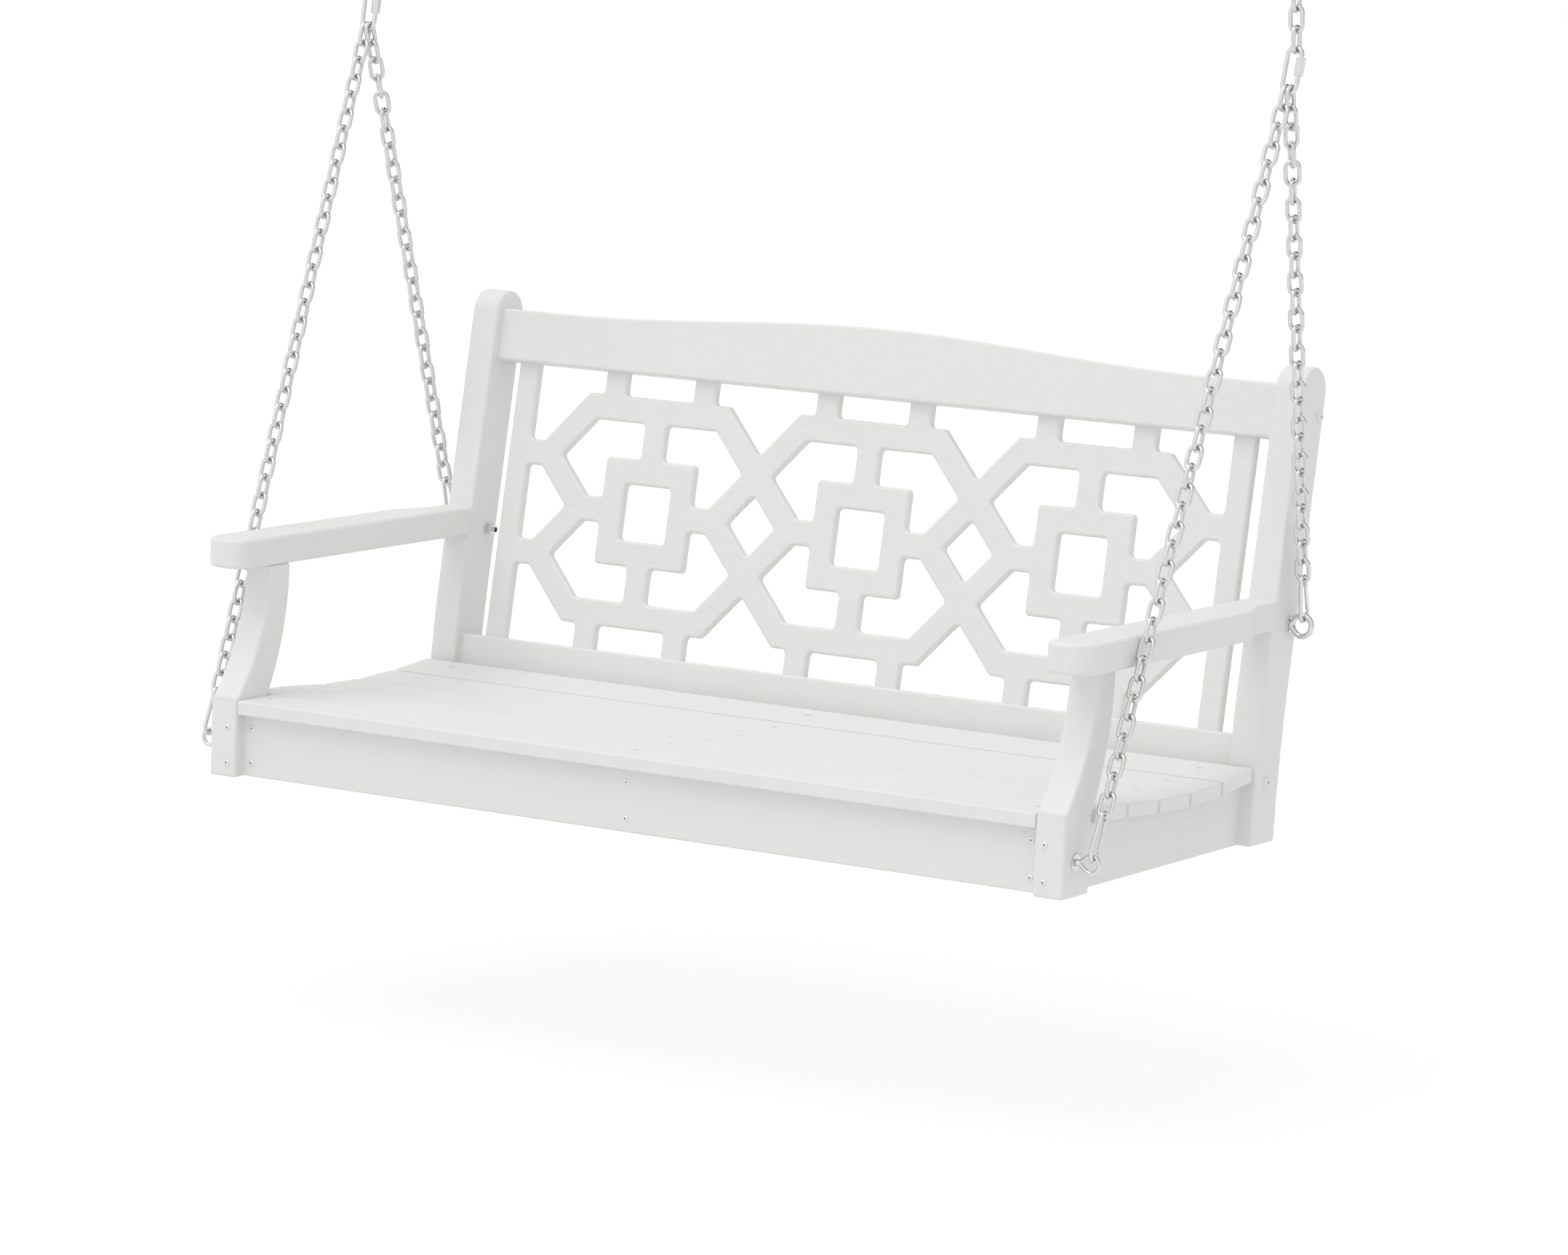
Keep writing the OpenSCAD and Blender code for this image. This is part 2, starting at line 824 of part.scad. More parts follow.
module arm_screws() {
    z = arm_screw_z;
    y = bend_y - bend_r * cos(lean)
        + (z - bend_z - bend_r * sin(lean)) * tan(lean) + screw_head_r * tan(lean) + butt;
    color([0.75, 0.75, 0.76])
        for (s = [-1, 1])
            for (x = [-arm_screw_x, arm_screw_x])
                translate([s * (mid_x + x), y, z])
                    rotate([-90, 0, 0])
                        screw(screw_head_r, screw_head_h, screw_r, back_d + arm_bite);
}

module arm_dowels() {
    color([0.85, 0.85, 0.84])
        for (s = [-1, 1])
            translate([s * mid_x, dowel_y, arm_z - dowel_l + dowel_bite])
                cylinder(h = dowel_l, r = dowel_r, $fn = 24);
}

// Two screws through the lower back rail into each rib
module rib_screws() {
    color([0.75, 0.75, 0.76])
        back_frame()
            for (x = [-rib_x, 0, rib_x])
                for (v = rib_screw_v)
                    translate([x, rail_y + rail_t, v])
                        rotate([-90, 0, 0])
                            screw(screw_head_r, screw_head_h, screw_r, rail_t + rib_bite);
}

// Four button head bolts, one through each post into each back rail
module frame_bolts() {
    color([0.88, 0.88, 0.87])
        back_frame()
            for (s = [-1, 1])
                for (b = [top_bolt, sill_bolt])
                    translate([s * xo, b[0], b[1]])
                        rotate([0, 90 * s, 0]) {
                            translate([0, 0, -post_w - bolt_bite])
                                cylinder(h = post_w + bolt_bite + e, r = bolt_r, $fn = 32);
                            difference() {
                                cylinder(h = bolt_head_h, r1 = bolt_head_r, r2 = bolt_top_r,
                                    $fn = 40);
                                translate([0, 0, bolt_head_h - 2.2])
                                    cylinder(h = 3, r = bolt_key_r, $fn = 6);
                            }
                        }
}

// An eye: ring in the XZ plane about its centre, shank towards -X
module eye_bolt(ring_r, d, neck, l) {
    ring_arc(ring_r, d, 0, 360);
    translate([-ring_r - l, 0, 0])
        rotate([0, 90, 0])
            cylinder(h = l, d = d, $fn = 32);
    translate([-ring_r - neck, 0, 0])
        rotate([0, 90, 0])
            cylinder(h = neck, r1 = d * 0.62, r2 = d / 2, $fn = 32);
}

module front_eye_bolts() {
    reach = front_eye[0] - front_eye_r - front_shank_x;
    color([0.8, 0.8, 0.81])
        for (s = [0, 1])
            mirror([s, 0, 0])
                translate(front_eye)
                    eye_bolt(front_eye_r, front_eye_d, 3, reach);
}

module rear_eye_bolts() {
    reach = rear_eye[0] - rear_eye_r - xi + rear_shank_out;
    color([0.8, 0.8, 0.81])
        for (s = [0, 1])
            mirror([s, 0, 0])
                translate(rear_eye)
                    eye_bolt(rear_eye_r, rear_eye_d, 2, reach);
}

// A flat ring along X from x0 to x1
module washer(x0, x1, c, r, bore) {
    translate([x0, c[1], c[2]])
        rotate([0, 90, 0])
            difference() {
                cylinder(h = x1 - x0, r = r, $fn = 40);
                translate([0, 0, -1])
                    cylinder(h = x1 - x0 + 2, r = bore, $fn = 32);
            }
}

module eye_washers() {
    color([0.8, 0.8, 0.81])
        for (s = [0, 1])
            mirror([s, 0, 0]) {
                washer(xo, xo + washer_t, front_eye, washer_r, front_eye_d / 2 + nut_play);
                washer(xi - washer_t, xi, rear_eye, back_washer_r,
                    rear_eye_d / 2 + nut_play);
            }
}

// A six-sided nut along X from x0 to x1
module nut(x0, x1, c, flats, bore) {
    translate([x0, c[1], c[2]])
        rotate([0, 90, 0])
            difference() {
                cylinder(h = x1 - x0, r = flats / sqrt(3), $fn = 6);
                translate([0, 0, -1])
                    cylinder(h = x1 - x0 + 2, r = bore, $fn = 32);
            }
}

module eye_nuts() {
    color([0.8, 0.8, 0.81])
        for (s = [0, 1])
            mirror([s, 0, 0]) {
                nut(xo + washer_t + nut_play, xo + 6, front_eye, 9.5,
                    front_eye_d / 2 + nut_play);
                nut(xo, xo + 3.7, rear_eye, 14, rear_eye_d / 2 + nut_play);
                nut(xi - 8, xi - washer_t - nut_play, rear_eye, 13,
                    rear_eye_d / 2 + nut_play);
            }
}

// ---- chains, hooks and links; k = 0 is a side's front run, 1 its rear ----

side_lift = quick_r - sqrt(pow(quick_r, 2) - pow(side_step, 2));
link_half = (chain_in + chain_d) / 2;
leg_half = (chain_in - 2 * chain_r + chain_d) / 2;
eye_wire = [front_eye_d, rear_eye_d];
eye_top = [front_eye + [0, 0, front_eye_r], rear_eye + [0, 0, rear_eye_r]];
// The seat chains hang side by side on the quick link's lower bend. Both
// front runs lie towards -X, so s = 1 on the right side and -1 on the
// mirrored left side
quick_roll = atan2(quick_dir[0], quick_dir[2]);
function hang(s, k) = apex
    + (2 * k - 1) * s * side_step * [cos(quick_roll), 0, -sin(quick_roll)]
    + side_lift * unit(quick_dir);
function run_dir(s, k) = unit(hang(s, k) - eye_top[k]);
// Distance from the eye's wire up to the hook's wide bend centre
function hook_at(k) = hook_wide - (eye_wire[k] + hook_d) / 2 - play;

// Hook body in the YZ plane, wide bend at the origin, narrow bend above
module hook_body() {
    t = hook_turn;
    rotate([0, 0, 90]) {
        rotate([0, t, 0]) {
            ring_arc(hook_wide, hook_d, 180, 356 + t);
            translate([-hook_wide, 0, -0.3])
                cylinder(h = hook_len * cos(t) + 0.6, d = hook_d - 0.04, $fn = 24);
            translate([hook_tight - hook_wide, 0, hook_len * cos(t)])
                ring_arc(hook_tight, hook_d, 30 + t, 180);
        }
        // Nose lip outside the gate's end
        rod([hook_wide + 1.2, 0, -1.5], [hook_wide + 4, 0, 3.2], 1.2);
        // Flat tongue that carries the gate's pin
        face_board(-0.9, 0.9)
            polygon(eased([
                [hook_tight - 2.6, hook_len + 4], [pin_w - 2.2, pin_v - 2.2],
                [pin_w + 2.2, pin_v - 2.2], [hook_tight + 1.6, hook_len + 2.4]
            ], 1));
        translate([pin_w, 2.7, pin_v])
            rotate([90, 0, 0])
                cylinder(h = 5.4, r = pin_r, $fn = 24);
    }
}

// The hook's spring gate, hinged on the pin
module hook_gate() {
    end_w = hook_wide - 0.1;
    end_v = 3.4;
    rotate([0, 0, 90])
        difference() {
            union() {
                rod([pin_w, 0, pin_v], [end_w, 0, end_v], gate_r);
                translate([pin_w, 2.5, pin_v])
                    rotate([90, 0, 0])
                        cylinder(h = 5, r = 2.6, $fn = 32);
            }
            translate([pin_w, 4, pin_v])
                rotate([90, 0, 0])
                    cylinder(h = 8, r = pin_r + run_fit, $fn = 24);
            translate([pin_w - 5, -1.15, pin_v - 3.4])
                cube([10, 2.3, 9]);
        }
}

module at_hook(s, k) {
    aim(eye_top[k] + run_dir(s, k) * hook_at(k), run_dir(s, k))
        children();
}

module snap_hook(s, k) {
    color([0.8, 0.8, 0.81])
        at_hook(s, k)
            hook_body();
}

module snap_hook_front_right() {
    snap_hook(1, 0);
}

module snap_hook_rear_right() {
    snap_hook(1, 1);
}

module snap_hook_front_left() {
    other_side()
        snap_hook(-1, 0);
}

module snap_hook_rear_left() {
    other_side()
        snap_hook(-1, 1);
}

module gate(s, k) {
    color([0.78, 0.78, 0.8])
        at_hook(s, k)
            hook_gate();
}

module hook_gate_front_right() {
    gate(1, 0);
}

module hook_gate_rear_right() {
    gate(1, 1);
}

module hook_gate_front_left() {
    other_side()
        gate(-1, 0);
}

module hook_gate_rear_left() {
    other_side()
        gate(-1, 1);
}

// A taut chain from its hook up to the quick link, its links turned in turn
module seat_chain(s, k) {
    dir = run_dir(s, k);
    low = hook_at(k) + hook_len + hook_tight - (hook_d + chain_d) / 2 - play
        + link_half;
    high = norm(hang(s, k) - eye_top[k]) - leg_half
        - (chain_r - (chain_d + quick_d) / 2 - hang_play);
    n = 1 + ceil((high - low) / chain_in);
    // The top link lies across the quick link, so an odd run is twisted
    twist = n % 2 == 0 ? 0 : 90 * s;
    color([0.82, 0.82, 0.83])
        for (i = [0:n - 1])
            aim(eye_top[k] + dir * (low + (high - low) * i / (n - 1)), dir)
                rotate([0, 0, 90 * (i % 2)
                    + twist * max(0, i - n + 1 + twist_links) / twist_links])
                    chain_link(chain_r, chain_d, chain_in);
}

module seat_chain_front_right() {
    seat_chain(1, 0);
}

module seat_chain_rear_right() {
    seat_chain(1, 1);
}

module seat_chain_front_left() {
    other_side()
        seat_chain(-1, 0);
}

module seat_chain_rear_left() {
    other_side()
        seat_chain(-1, 1);
}

module at_quick() {
    aim(apex + quick_dir * (quick_in + quick_d) / 2, quick_dir)
        children();
}

// Open link with its threaded leg towards +X; s as for the chains
module quick_link(s) {
    gap_top = sleeve_top - 2;
    gap_low = sleeve_top - 8.6;
    color([0.8, 0.8, 0.81])
        at_quick() {
            translate([0, 0, quick_leg / 2])
                ring_arc(quick_r, quick_d, 0, 180);
            translate([0, 0, -quick_leg / 2])
                ring_arc(quick_r, quick_d, 180, 360);
            translate([-s * quick_r, 0, -quick_leg / 2])
                cylinder(h = quick_leg, d = quick_d, $fn = 32);
            translate([s * quick_r, 0, -quick_leg / 2])
                cylinder(h = quick_leg / 2 + gap_low, d = quick_d, $fn = 32);
            translate([s * quick_r, 0, gap_top])
                cylinder(h = quick_leg / 2 - gap_top, d = quick_d, $fn = 32);
        }
}

module quick_link_right() {
    quick_link(1);
}

module quick_link_left() {
    other_side()
        quick_link(-1);
}

// Six-sided sleeve that screws down to open the link
module quick_sleeve(s) {
    color([0.78, 0.78, 0.8])
        at_quick()
            translate([s * quick_r, 0, sleeve_top - sleeve_l])
                difference() {
                    cylinder(h = sleeve_l, r = 5.9, $fn = 6);
                    translate([0, 0, -1])
                        cylinder(h = sleeve_l + 2, r = quick_d / 2 + run_fit, $fn = 32);
                }
}

module quick_sleeve_right() {
    quick_sleeve(1);
}

module quick_sleeve_left() {
    other_side()
        quick_sleeve(-1);
}

module upper_chain_right() {
    color([0.82, 0.82, 0.83])
        for (i = [0:upper_n - 1])
            aim(quick_top + upper_dir * (upper_first + i * upper_step), upper_dir)
                rotate([0, 0, 90 * ((i + 1) % 2)])
                    chain_link(upper_r, upper_d, upper_in);
}

module upper_chain_left() {
    other_side()
        upper_chain_right();
}

// Ceiling eye: ring, collar against the ceiling and a shank above it
module ceiling_eye_right() {
    c = ceiling_eye + [0, 0, eye_r];
    color([0.8, 0.8, 0.81])
        translate(c) {
            ring_arc(eye_r, eye_d, 0, 360);
            translate([0, 0, eye_r])
                cylinder(h = collar_gap, r1 = neck_low_r, r2 = neck_top_r, $fn = 40);
            translate([0, 0, eye_r + collar_gap]) {
                cylinder(h = collar_t, r = collar_r, $fn = 48);
                cylinder(h = collar_t + shank_l, r = shank_r, $fn = 40);
            }
        }
}

module ceiling_eye_left() {
    other_side()
        ceiling_eye_right();
}

// ---- drawing ----

placed() {
    front_post_left();
    front_post_right();
    back_post_left();
    back_post_right();
    armrest_left();
    armrest_right();
    top_rail();
    back_panel();
    lower_back_rail();
    front_apron();
    side_rail_left();
    side_rail_right();
    seat_rib_left();
    seat_rib_centre();
    seat_rib_right();
    seat_slat_1();
    seat_slat_2();
    seat_slat_3();
    seat_slat_4();
    seat_slat_5();
    seat_slat_6();
    slat_screws();
    frame_screws();
    rib_screws();
    arm_screws();
    arm_dowels();
    frame_bolts();
    front_eye_bolts();
    rear_eye_bolts();
    eye_washers();
    eye_nuts();
    snap_hook_front_left();
    snap_hook_front_right();
    snap_hook_rear_left();
    snap_hook_rear_right();
    hook_gate_front_left();
    hook_gate_front_right();
    hook_gate_rear_left();
    hook_gate_rear_right();
    seat_chain_front_left();
    seat_chain_front_right();
    seat_chain_rear_left();
    seat_chain_rear_right();
    quick_link_left();
    quick_link_right();
    quick_sleeve_left();
    quick_sleeve_right();
    upper_chain_left();
    upper_chain_right();
    ceiling_eye_left();
    ceiling_eye_right();
}
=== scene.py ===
import math

import bpy
import numpy as np
from mathutils import Matrix, Vector
from mathutils.geometry import tessellate_polygon


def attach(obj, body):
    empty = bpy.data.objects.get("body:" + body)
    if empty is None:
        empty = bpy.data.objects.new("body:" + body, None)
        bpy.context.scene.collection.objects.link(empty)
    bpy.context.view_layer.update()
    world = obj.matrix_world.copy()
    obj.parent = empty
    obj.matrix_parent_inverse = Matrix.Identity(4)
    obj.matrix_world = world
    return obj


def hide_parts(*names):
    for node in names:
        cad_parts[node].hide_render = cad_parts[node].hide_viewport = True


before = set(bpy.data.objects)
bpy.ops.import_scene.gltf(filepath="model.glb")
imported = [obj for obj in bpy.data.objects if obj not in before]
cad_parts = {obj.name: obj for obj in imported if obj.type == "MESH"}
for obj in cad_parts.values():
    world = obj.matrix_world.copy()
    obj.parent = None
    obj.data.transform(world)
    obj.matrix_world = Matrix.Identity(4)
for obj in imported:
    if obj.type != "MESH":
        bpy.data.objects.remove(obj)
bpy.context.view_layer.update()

# Sizes in millimetres in the seat's own frame: y = 0 at the front posts'
# front faces, z = 0 at the posts' lower ends. ORG moves it to the ceiling.
ORG = np.array([0.0, 380.336, 1091.96])
# inner and outer faces of the posts
XI, XO = 581.5, 621.5
# the back's rake, and the back posts' curve: centre, front radius and depth
LEAN = math.radians(10)
BEND_Y, BEND_Z, BRACE_R, BACK_D = 2101.9, -67.2, 1629.9, 62.4
# armrests: underside, thickness and width
ARM_Z, ARM_T, ARM_W = 265.2, 37.5, 62.5
# middle of the lattice: its height, and its depth behind the posts' front
BACK_Z, BACK_IN = 314.7, 24.6


def v3(*p):
    return np.array(p, float)


def unit(v):
    v = np.asarray(v, float)
    return v / np.linalg.norm(v)


def post_front(z):
    """Depth of the back posts' front face at a height: an arc, then straight."""
    if z < BEND_Z + BRACE_R * math.sin(LEAN):
        return BEND_Y - math.sqrt(BRACE_R ** 2 - (z - BEND_Z) ** 2)
    return (BEND_Y - BRACE_R * math.cos(LEAN)
            + (z - BEND_Z - BRACE_R * math.sin(LEAN)) * math.tan(LEAN))


def post_rear(z):
    """Depth of the back posts' rear face, on its curved part."""
    r = BRACE_R - BACK_D
    return BEND_Y - math.sqrt(r * r - (z - BEND_Z) ** 2)


BACK_Y = post_front(BACK_Z) + BACK_IN


# ---- matrices: local (x, y, depth) to the seat frame ----

def mat(x, y, z, o=(0, 0, 0)):
    m = np.eye(4)
    m[:3, 0], m[:3, 1], m[:3, 2], m[:3, 3] = x, y, z, o
    return m


def mirror(m):
    return np.diag([-1.0, 1, 1, 1]) @ m


def on_side(m, s):
    """The frame for the right side, or its mirror image for the left."""
    return m if s > 0 else mirror(m)


# drawn from the side, from above, from the front, and in the raked back
SIDE = mat((0, 1, 0), (0, 0, 1), (1, 0, 0))
PLAN = np.eye(4)
FACE = mat((1, 0, 0), (0, 0, 1), (0, -1, 0))
BACK = mat((1, 0, 0), (0, math.cos(LEAN), -math.sin(LEAN)),
           (0, math.sin(LEAN), math.cos(LEAN)), (0, BACK_Y, BACK_Z))
BFACE = BACK @ FACE


def aim(p, v):
    """Frame at p whose local Z points along v."""
    u = unit(v)
    a, b = -math.asin(u[1]), math.atan2(u[0], u[2])
    rx = np.array([[1, 0, 0],
                   [0, math.cos(a), -math.sin(a)],
                   [0, math.sin(a), math.cos(a)]])
    ry = np.array([[math.cos(b), 0, math.sin(b)],
                   [0, 1, 0],
                   [-math.sin(b), 0, math.cos(b)]])
    m = np.eye(4)
    m[:3, :3] = ry @ rx
    m[:3, 3] = p
    return m


def turn_z(deg):
    a = math.radians(deg)
    return mat((math.cos(a), math.sin(a), 0), (-math.sin(a), math.cos(a), 0), (0, 0, 1))


def shift(*p):
    return mat((1, 0, 0), (0, 1, 0), (0, 0, 1), p)


# ---- mesh building ----

class Build:
    """Vertices, normals and faces of one piece, in the seat frame."""

    def __init__(self):
        self.v, self.n, self.f, self.k, self.count = [], [], [], [], 0

    def add(self, v, n, f, m=PLAN, slot=0):
        """Adds a part drawn in the frame m, with the material of that index."""
        v, n = np.asarray(v, float), np.asarray(n, float)
        self.v.append(v @ m[:3, :3].T + m[:3, 3])
        self.n.append(n @ m[:3, :3].T)
        flip = np.linalg.det(m[:3, :3]) < 0
        for q in f:
            q = [i + self.count for i in q]
            self.f.append(q[::-1] if flip else q)
            self.k.append(slot)
        self.count += len(v)

    def piece(self, node, mats, body="seat", slot="boards", warp=None):
        """Makes the mesh object, which stands for the CAD node of that name."""
        name = "visual_" + node
        v = np.vstack(self.v)
        n = np.vstack(self.n)
        if warp is not None:
            v = warp(v)
        me = bpy.data.meshes.new(name)
        me.from_pydata(((v - ORG) / 1000).tolist(), [], self.f)
        for p in me.polygons:
            p.use_smooth = True
        for m in mats:
            me.materials.append(m)
        me.polygons.foreach_set("material_index", self.k)
        me.update()
        n = n / np.maximum(np.linalg.norm(n, axis=1), 1e-9)[:, None]
        me.normals_split_custom_set_from_vertices(n.tolist())
        ob = bpy.data.objects.new(name, me)
        bpy.context.scene.collection.objects.link(ob)
        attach(ob, body)
        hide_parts(node)


def outline(pts, step=14.0):
    """Closed outline with material on its left. Points are (x, y) smooth or
    (x, y, r) corners. Returns positions and outward normals."""
    out_p, out_n = [], []
    n = len(pts)
    for i in range(n):
        a, b, c = pts[i - 1], pts[i], pts[(i + 1) % n]
        A, B, C = v3(*a[:2]), v3(*b[:2]), v3(*c[:2])
        u, w = unit(A - B), unit(C - B)
        t = unit(C - A)
        if len(b) == 2:
            out_p.append(B)
            out_n.append(v3(t[1], -t[0]))
            continue
        r = b[2]
        half = math.acos(max(-1, min(1, float(u @ w)))) / 2
        far = r / math.tan(half)
        m = B + unit(u + w) * r / math.sin(half)
        s, e = B + u * far - m, B + w * far - m
        a0, a1 = math.atan2(s[1], s[0]), math.atan2(e[1], e[0])
        d = (a1 - a0 + 3 * math.pi) % (2 * math.pi) - math.pi
        sign = 1 if d > 0 else -1
        k = max(2, int(math.ceil(abs(math.degrees(d)) / step)))
        for j in range(k + 1):
            q = a0 + d * j / k
            out_p.append(m + r * v3(math.cos(q), math.sin(q)))
            out_n.append(sign * v3(math.cos(q), math.sin(q)))
    return np.array(out_p), np.array(out_n)


def circle(c, r, k=24, hole=False):
    a = np.linspace(0, 2 * np.pi, k, endpoint=False)
    if hole:
        a = a[::-1]
    n = np.stack([np.cos(a), np.sin(a)], 1)
    return np.array(c[:2]) + r * n, (-n if hole else n)


def prism(b, loops, d0, d1, m, r, steps=4, slot=0, ease=(1, 1)):
    """A board: outlines swept from depth d0 to d1, edges rounded by r, drawn
    in by ease along x and y. Each loop is (points, normals) or (points,
    normals, r)."""
    verts, norms, faces = [], [], []
    ends = {0: [], 1: []}
    base = 0
    for loop in loops:
        p, n = loop[0], loop[1]
        rr = loop[2] if len(loop) > 2 else r
        rings = []
        for end, sgn, d in ((0, -1, d0), (1, 1, d1)):
            order = range(steps, -1, -1) if end == 0 else range(0, steps + 1)
            for j in order:
                f = math.pi / 2 * j / steps
                ins, up = rr * (1 - math.cos(f)), rr * (1 - math.sin(f))
                q = p - n * ins * np.array(ease)
                z = np.full(len(p), d - sgn * up)
                verts.append(np.column_stack([q, z]))
                norms.append(np.column_stack([n * math.cos(f),
                                              np.full(len(p), sgn * math.sin(f))]))
                rings.append(base)
                base += len(p)
        k = len(p)
        for a, c in zip(rings[:-1], rings[1:]):
            for i in range(k):
                j = (i + 1) % k
                faces.append([a + i, a + j, c + j, c + i])
        ends[0].append((rings[0], k))
        ends[1].append((rings[-1], k))
    verts, norms = np.vstack(verts), np.vstack(norms)
    for end in (0, 1):
        polys, ids = [], []
        for start, k in ends[end]:
            rim = range(start, start + k)
            polys.append([Vector((float(verts[i][0]), float(verts[i][1]), 0)) for i in rim])
            ids += rim
        for tri in tessellate_polygon(polys):
            q = [ids[i] for i in tri]
            a, c, e = verts[q[0]], verts[q[1]], verts[q[2]]
            up = (c[0] - a[0]) * (e[1] - a[1]) - (c[1] - a[1]) * (e[0] - a[0])
            if abs(up) < 1e-9:
                continue
            if (up > 0) != (end == 1):
                q = q[::-1]
            faces.append(q)
    b.add(verts, norms, faces, m, slot)


def sweep(b, path, radii, m=PLAN, closed=False, sides=14, ends="round"):
    """A round wire along path, radii one number or one per point. Its ends are
    round or flat."""
    path = np.asarray(path, float)
    k = len(path)
    rad = np.full(k, float(radii)) if np.isscalar(radii) else np.asarray(radii, float)
    if closed:
        tan = np.roll(path, -1, 0) - np.roll(path, 1, 0)
    else:
        tan = np.gradient(path, axis=0)
    tan /= np.linalg.norm(tan, axis=1)[:, None]
    ref = np.array([0, 1.0, 0]) if abs(tan[0][1]) < 0.9 else np.array([1.0, 0, 0])
    side = unit(np.cross(tan[0], ref))
    frames = []
    for t in tan:
        side = unit(side - t * (side @ t))
        frames.append((side.copy(), np.cross(t, side)))
    ang = np.linspace(0, 2 * np.pi, sides, endpoint=False)
    verts, norms = [], []

    def ring(c, s, w, t, r, lift, tilt):
        d = np.outer(np.cos(ang), s) + np.outer(np.sin(ang), w)
        verts.append(c + d * r + t * lift)
        norms.append(d * math.cos(tilt) + t * math.sin(tilt))

    dome = [] if closed or ends != "round" else [j * math.pi / 2 / 3.2 for j in (1, 2, 3)]
    for f in dome[::-1]:
        ring(path[0], *frames[0], tan[0], rad[0] * math.cos(f), -rad[0] * math.sin(f), -f)
    for i in range(k):
        ring(path[i], *frames[i], tan[i], rad[i], 0, 0)
    for f in dome:
        ring(path[-1], *frames[-1], tan[-1], rad[-1] * math.cos(f), rad[-1] * math.sin(f), f)
    rings = len(verts)
    faces = []
    for i in range(rings if closed else rings - 1):
        j = (i + 1) % rings
        for q in range(sides):
            p = (q + 1) % sides
            faces.append([i * sides + q, i * sides + p, j * sides + p, j * sides + q])
    verts, norms = np.vstack(verts), np.vstack(norms)
    if not closed:
        first = list(range(sides))[::-1]
        last = [(rings - 1) * sides + q for q in range(sides)]
        if ends == "flat":
            n0 = len(verts)
            verts = np.vstack([verts, verts[first], verts[last]])
            norms = np.vstack([norms, np.tile(-tan[0], (sides, 1)),
                               np.tile(tan[-1], (sides, 1))])
            faces += [list(range(n0, n0 + sides)), list(range(n0 + sides, n0 + 2 * sides))]
        else:
            faces += [first, last]
    b.add(verts, norms, faces, m)


def arc(c, r, a0, a1, k):
    """Points (x, z) of an arc, degrees, as 3-D points in the XZ plane."""
    return [(c[0] + r * math.cos(math.radians(a0 + (a1 - a0) * i / k)), 0,
             c[1] + r * math.sin(math.radians(a0 + (a1 - a0) * i / k))) for i in range(k + 1)]


def stadium(r, d, inside, k=10):
    h = (inside - 2 * r + d) / 2
    return arc((0, h), r, 0, 180, k) + arc((0, -h), r, 180, 360, k)


def lathe(b, prof, m, sides=32, smooth=False):
    """Revolves (radius, height) points about local Z, with each step flat or
    all of them smooth."""
    ang = np.linspace(0, 2 * np.pi, sides, endpoint=False)
    ca, sa = np.cos(ang), np.sin(ang)
    flat = [unit(v3(z1 - z0, r0 - r1)) for (r0, z0), (r1, z1) in zip(prof[:-1], prof[1:])]
    for i, n in enumerate(flat):
        (r0, z0), (r1, z1) = prof[i], prof[i + 1]
        n0 = unit(n + flat[i - 1]) if smooth and i else n
        n1 = unit(n + flat[i + 1]) if smooth and i + 1 < len(flat) else n
        rows, nor = [], []
        for r, z, q in ((r0, z0, n0), (r1, z1, n1)):
            rows.append(np.column_stack([r * ca, r * sa, np.full(sides, z)]))
            nor.append(np.column_stack([q[0] * ca, q[0] * sa, np.full(sides, q[1])]))
        here = [(q, (q + 1) % sides) for q in range(sides)]
        if r0 < 1e-6:
            faces = [[p, sides + q, sides + p] for p, q in here]
        elif r1 < 1e-6:
            faces = [[p, q, sides + p] for p, q in here]
        else:
            faces = [[p, q, sides + q, sides + p] for p, q in here]
        b.add(np.vstack(rows), np.vstack(nor), faces, m)


# ---- materials ----

def new_mat(name):
    m = bpy.data.materials.new(name)
    m.use_nodes = True
    nt = m.node_tree
    return m, nt, nt.nodes["Principled BSDF"]


def node(nt, kind, **kw):
    n = nt.nodes.new(kind)
    for k, v in kw.items():
        if hasattr(n, k):
            setattr(n, k, v)
        else:
            n.inputs[k].default_value = v
    return n


def ramp(nt, fac, stops):
    r = node(nt, "ShaderNodeValToRGB")
    e = r.color_ramp.elements
    while len(e) < len(stops):
        e.new(0.5)
    for q, (pos, c) in zip(e, stops):
        q.position = pos
        q.color = (*c, 1)
    nt.links.new(fac, r.inputs["Fac"])
    return r.outputs["Color"]


def noise(nt, vector, scale, detail, rough=0.5):
    n = node(nt, "ShaderNodeTexNoise", Scale=scale, Detail=detail, Roughness=rough)
    nt.links.new(vector, n.inputs["Vector"])
    return n.outputs["Fac"]


def bump(nt, height, strength, distance, under=None):
    b = node(nt, "ShaderNodeBump", Strength=strength, Distance=distance)
    nt.links.new(height, b.inputs["Height"])
    if under is not None:
        nt.links.new(under, b.inputs["Normal"])
    return b.outputs["Normal"]


def times(nt, a, b):
    mul = node(nt, "ShaderNodeMix", data_type="RGBA", blend_type="MULTIPLY")
    mul.inputs["Factor"].default_value = 1.0
    nt.links.new(a, mul.inputs["A"])
    nt.links.new(b, mul.inputs["B"])
    return mul.outputs["Result"]


def grey(g):
    return (g, g, g)


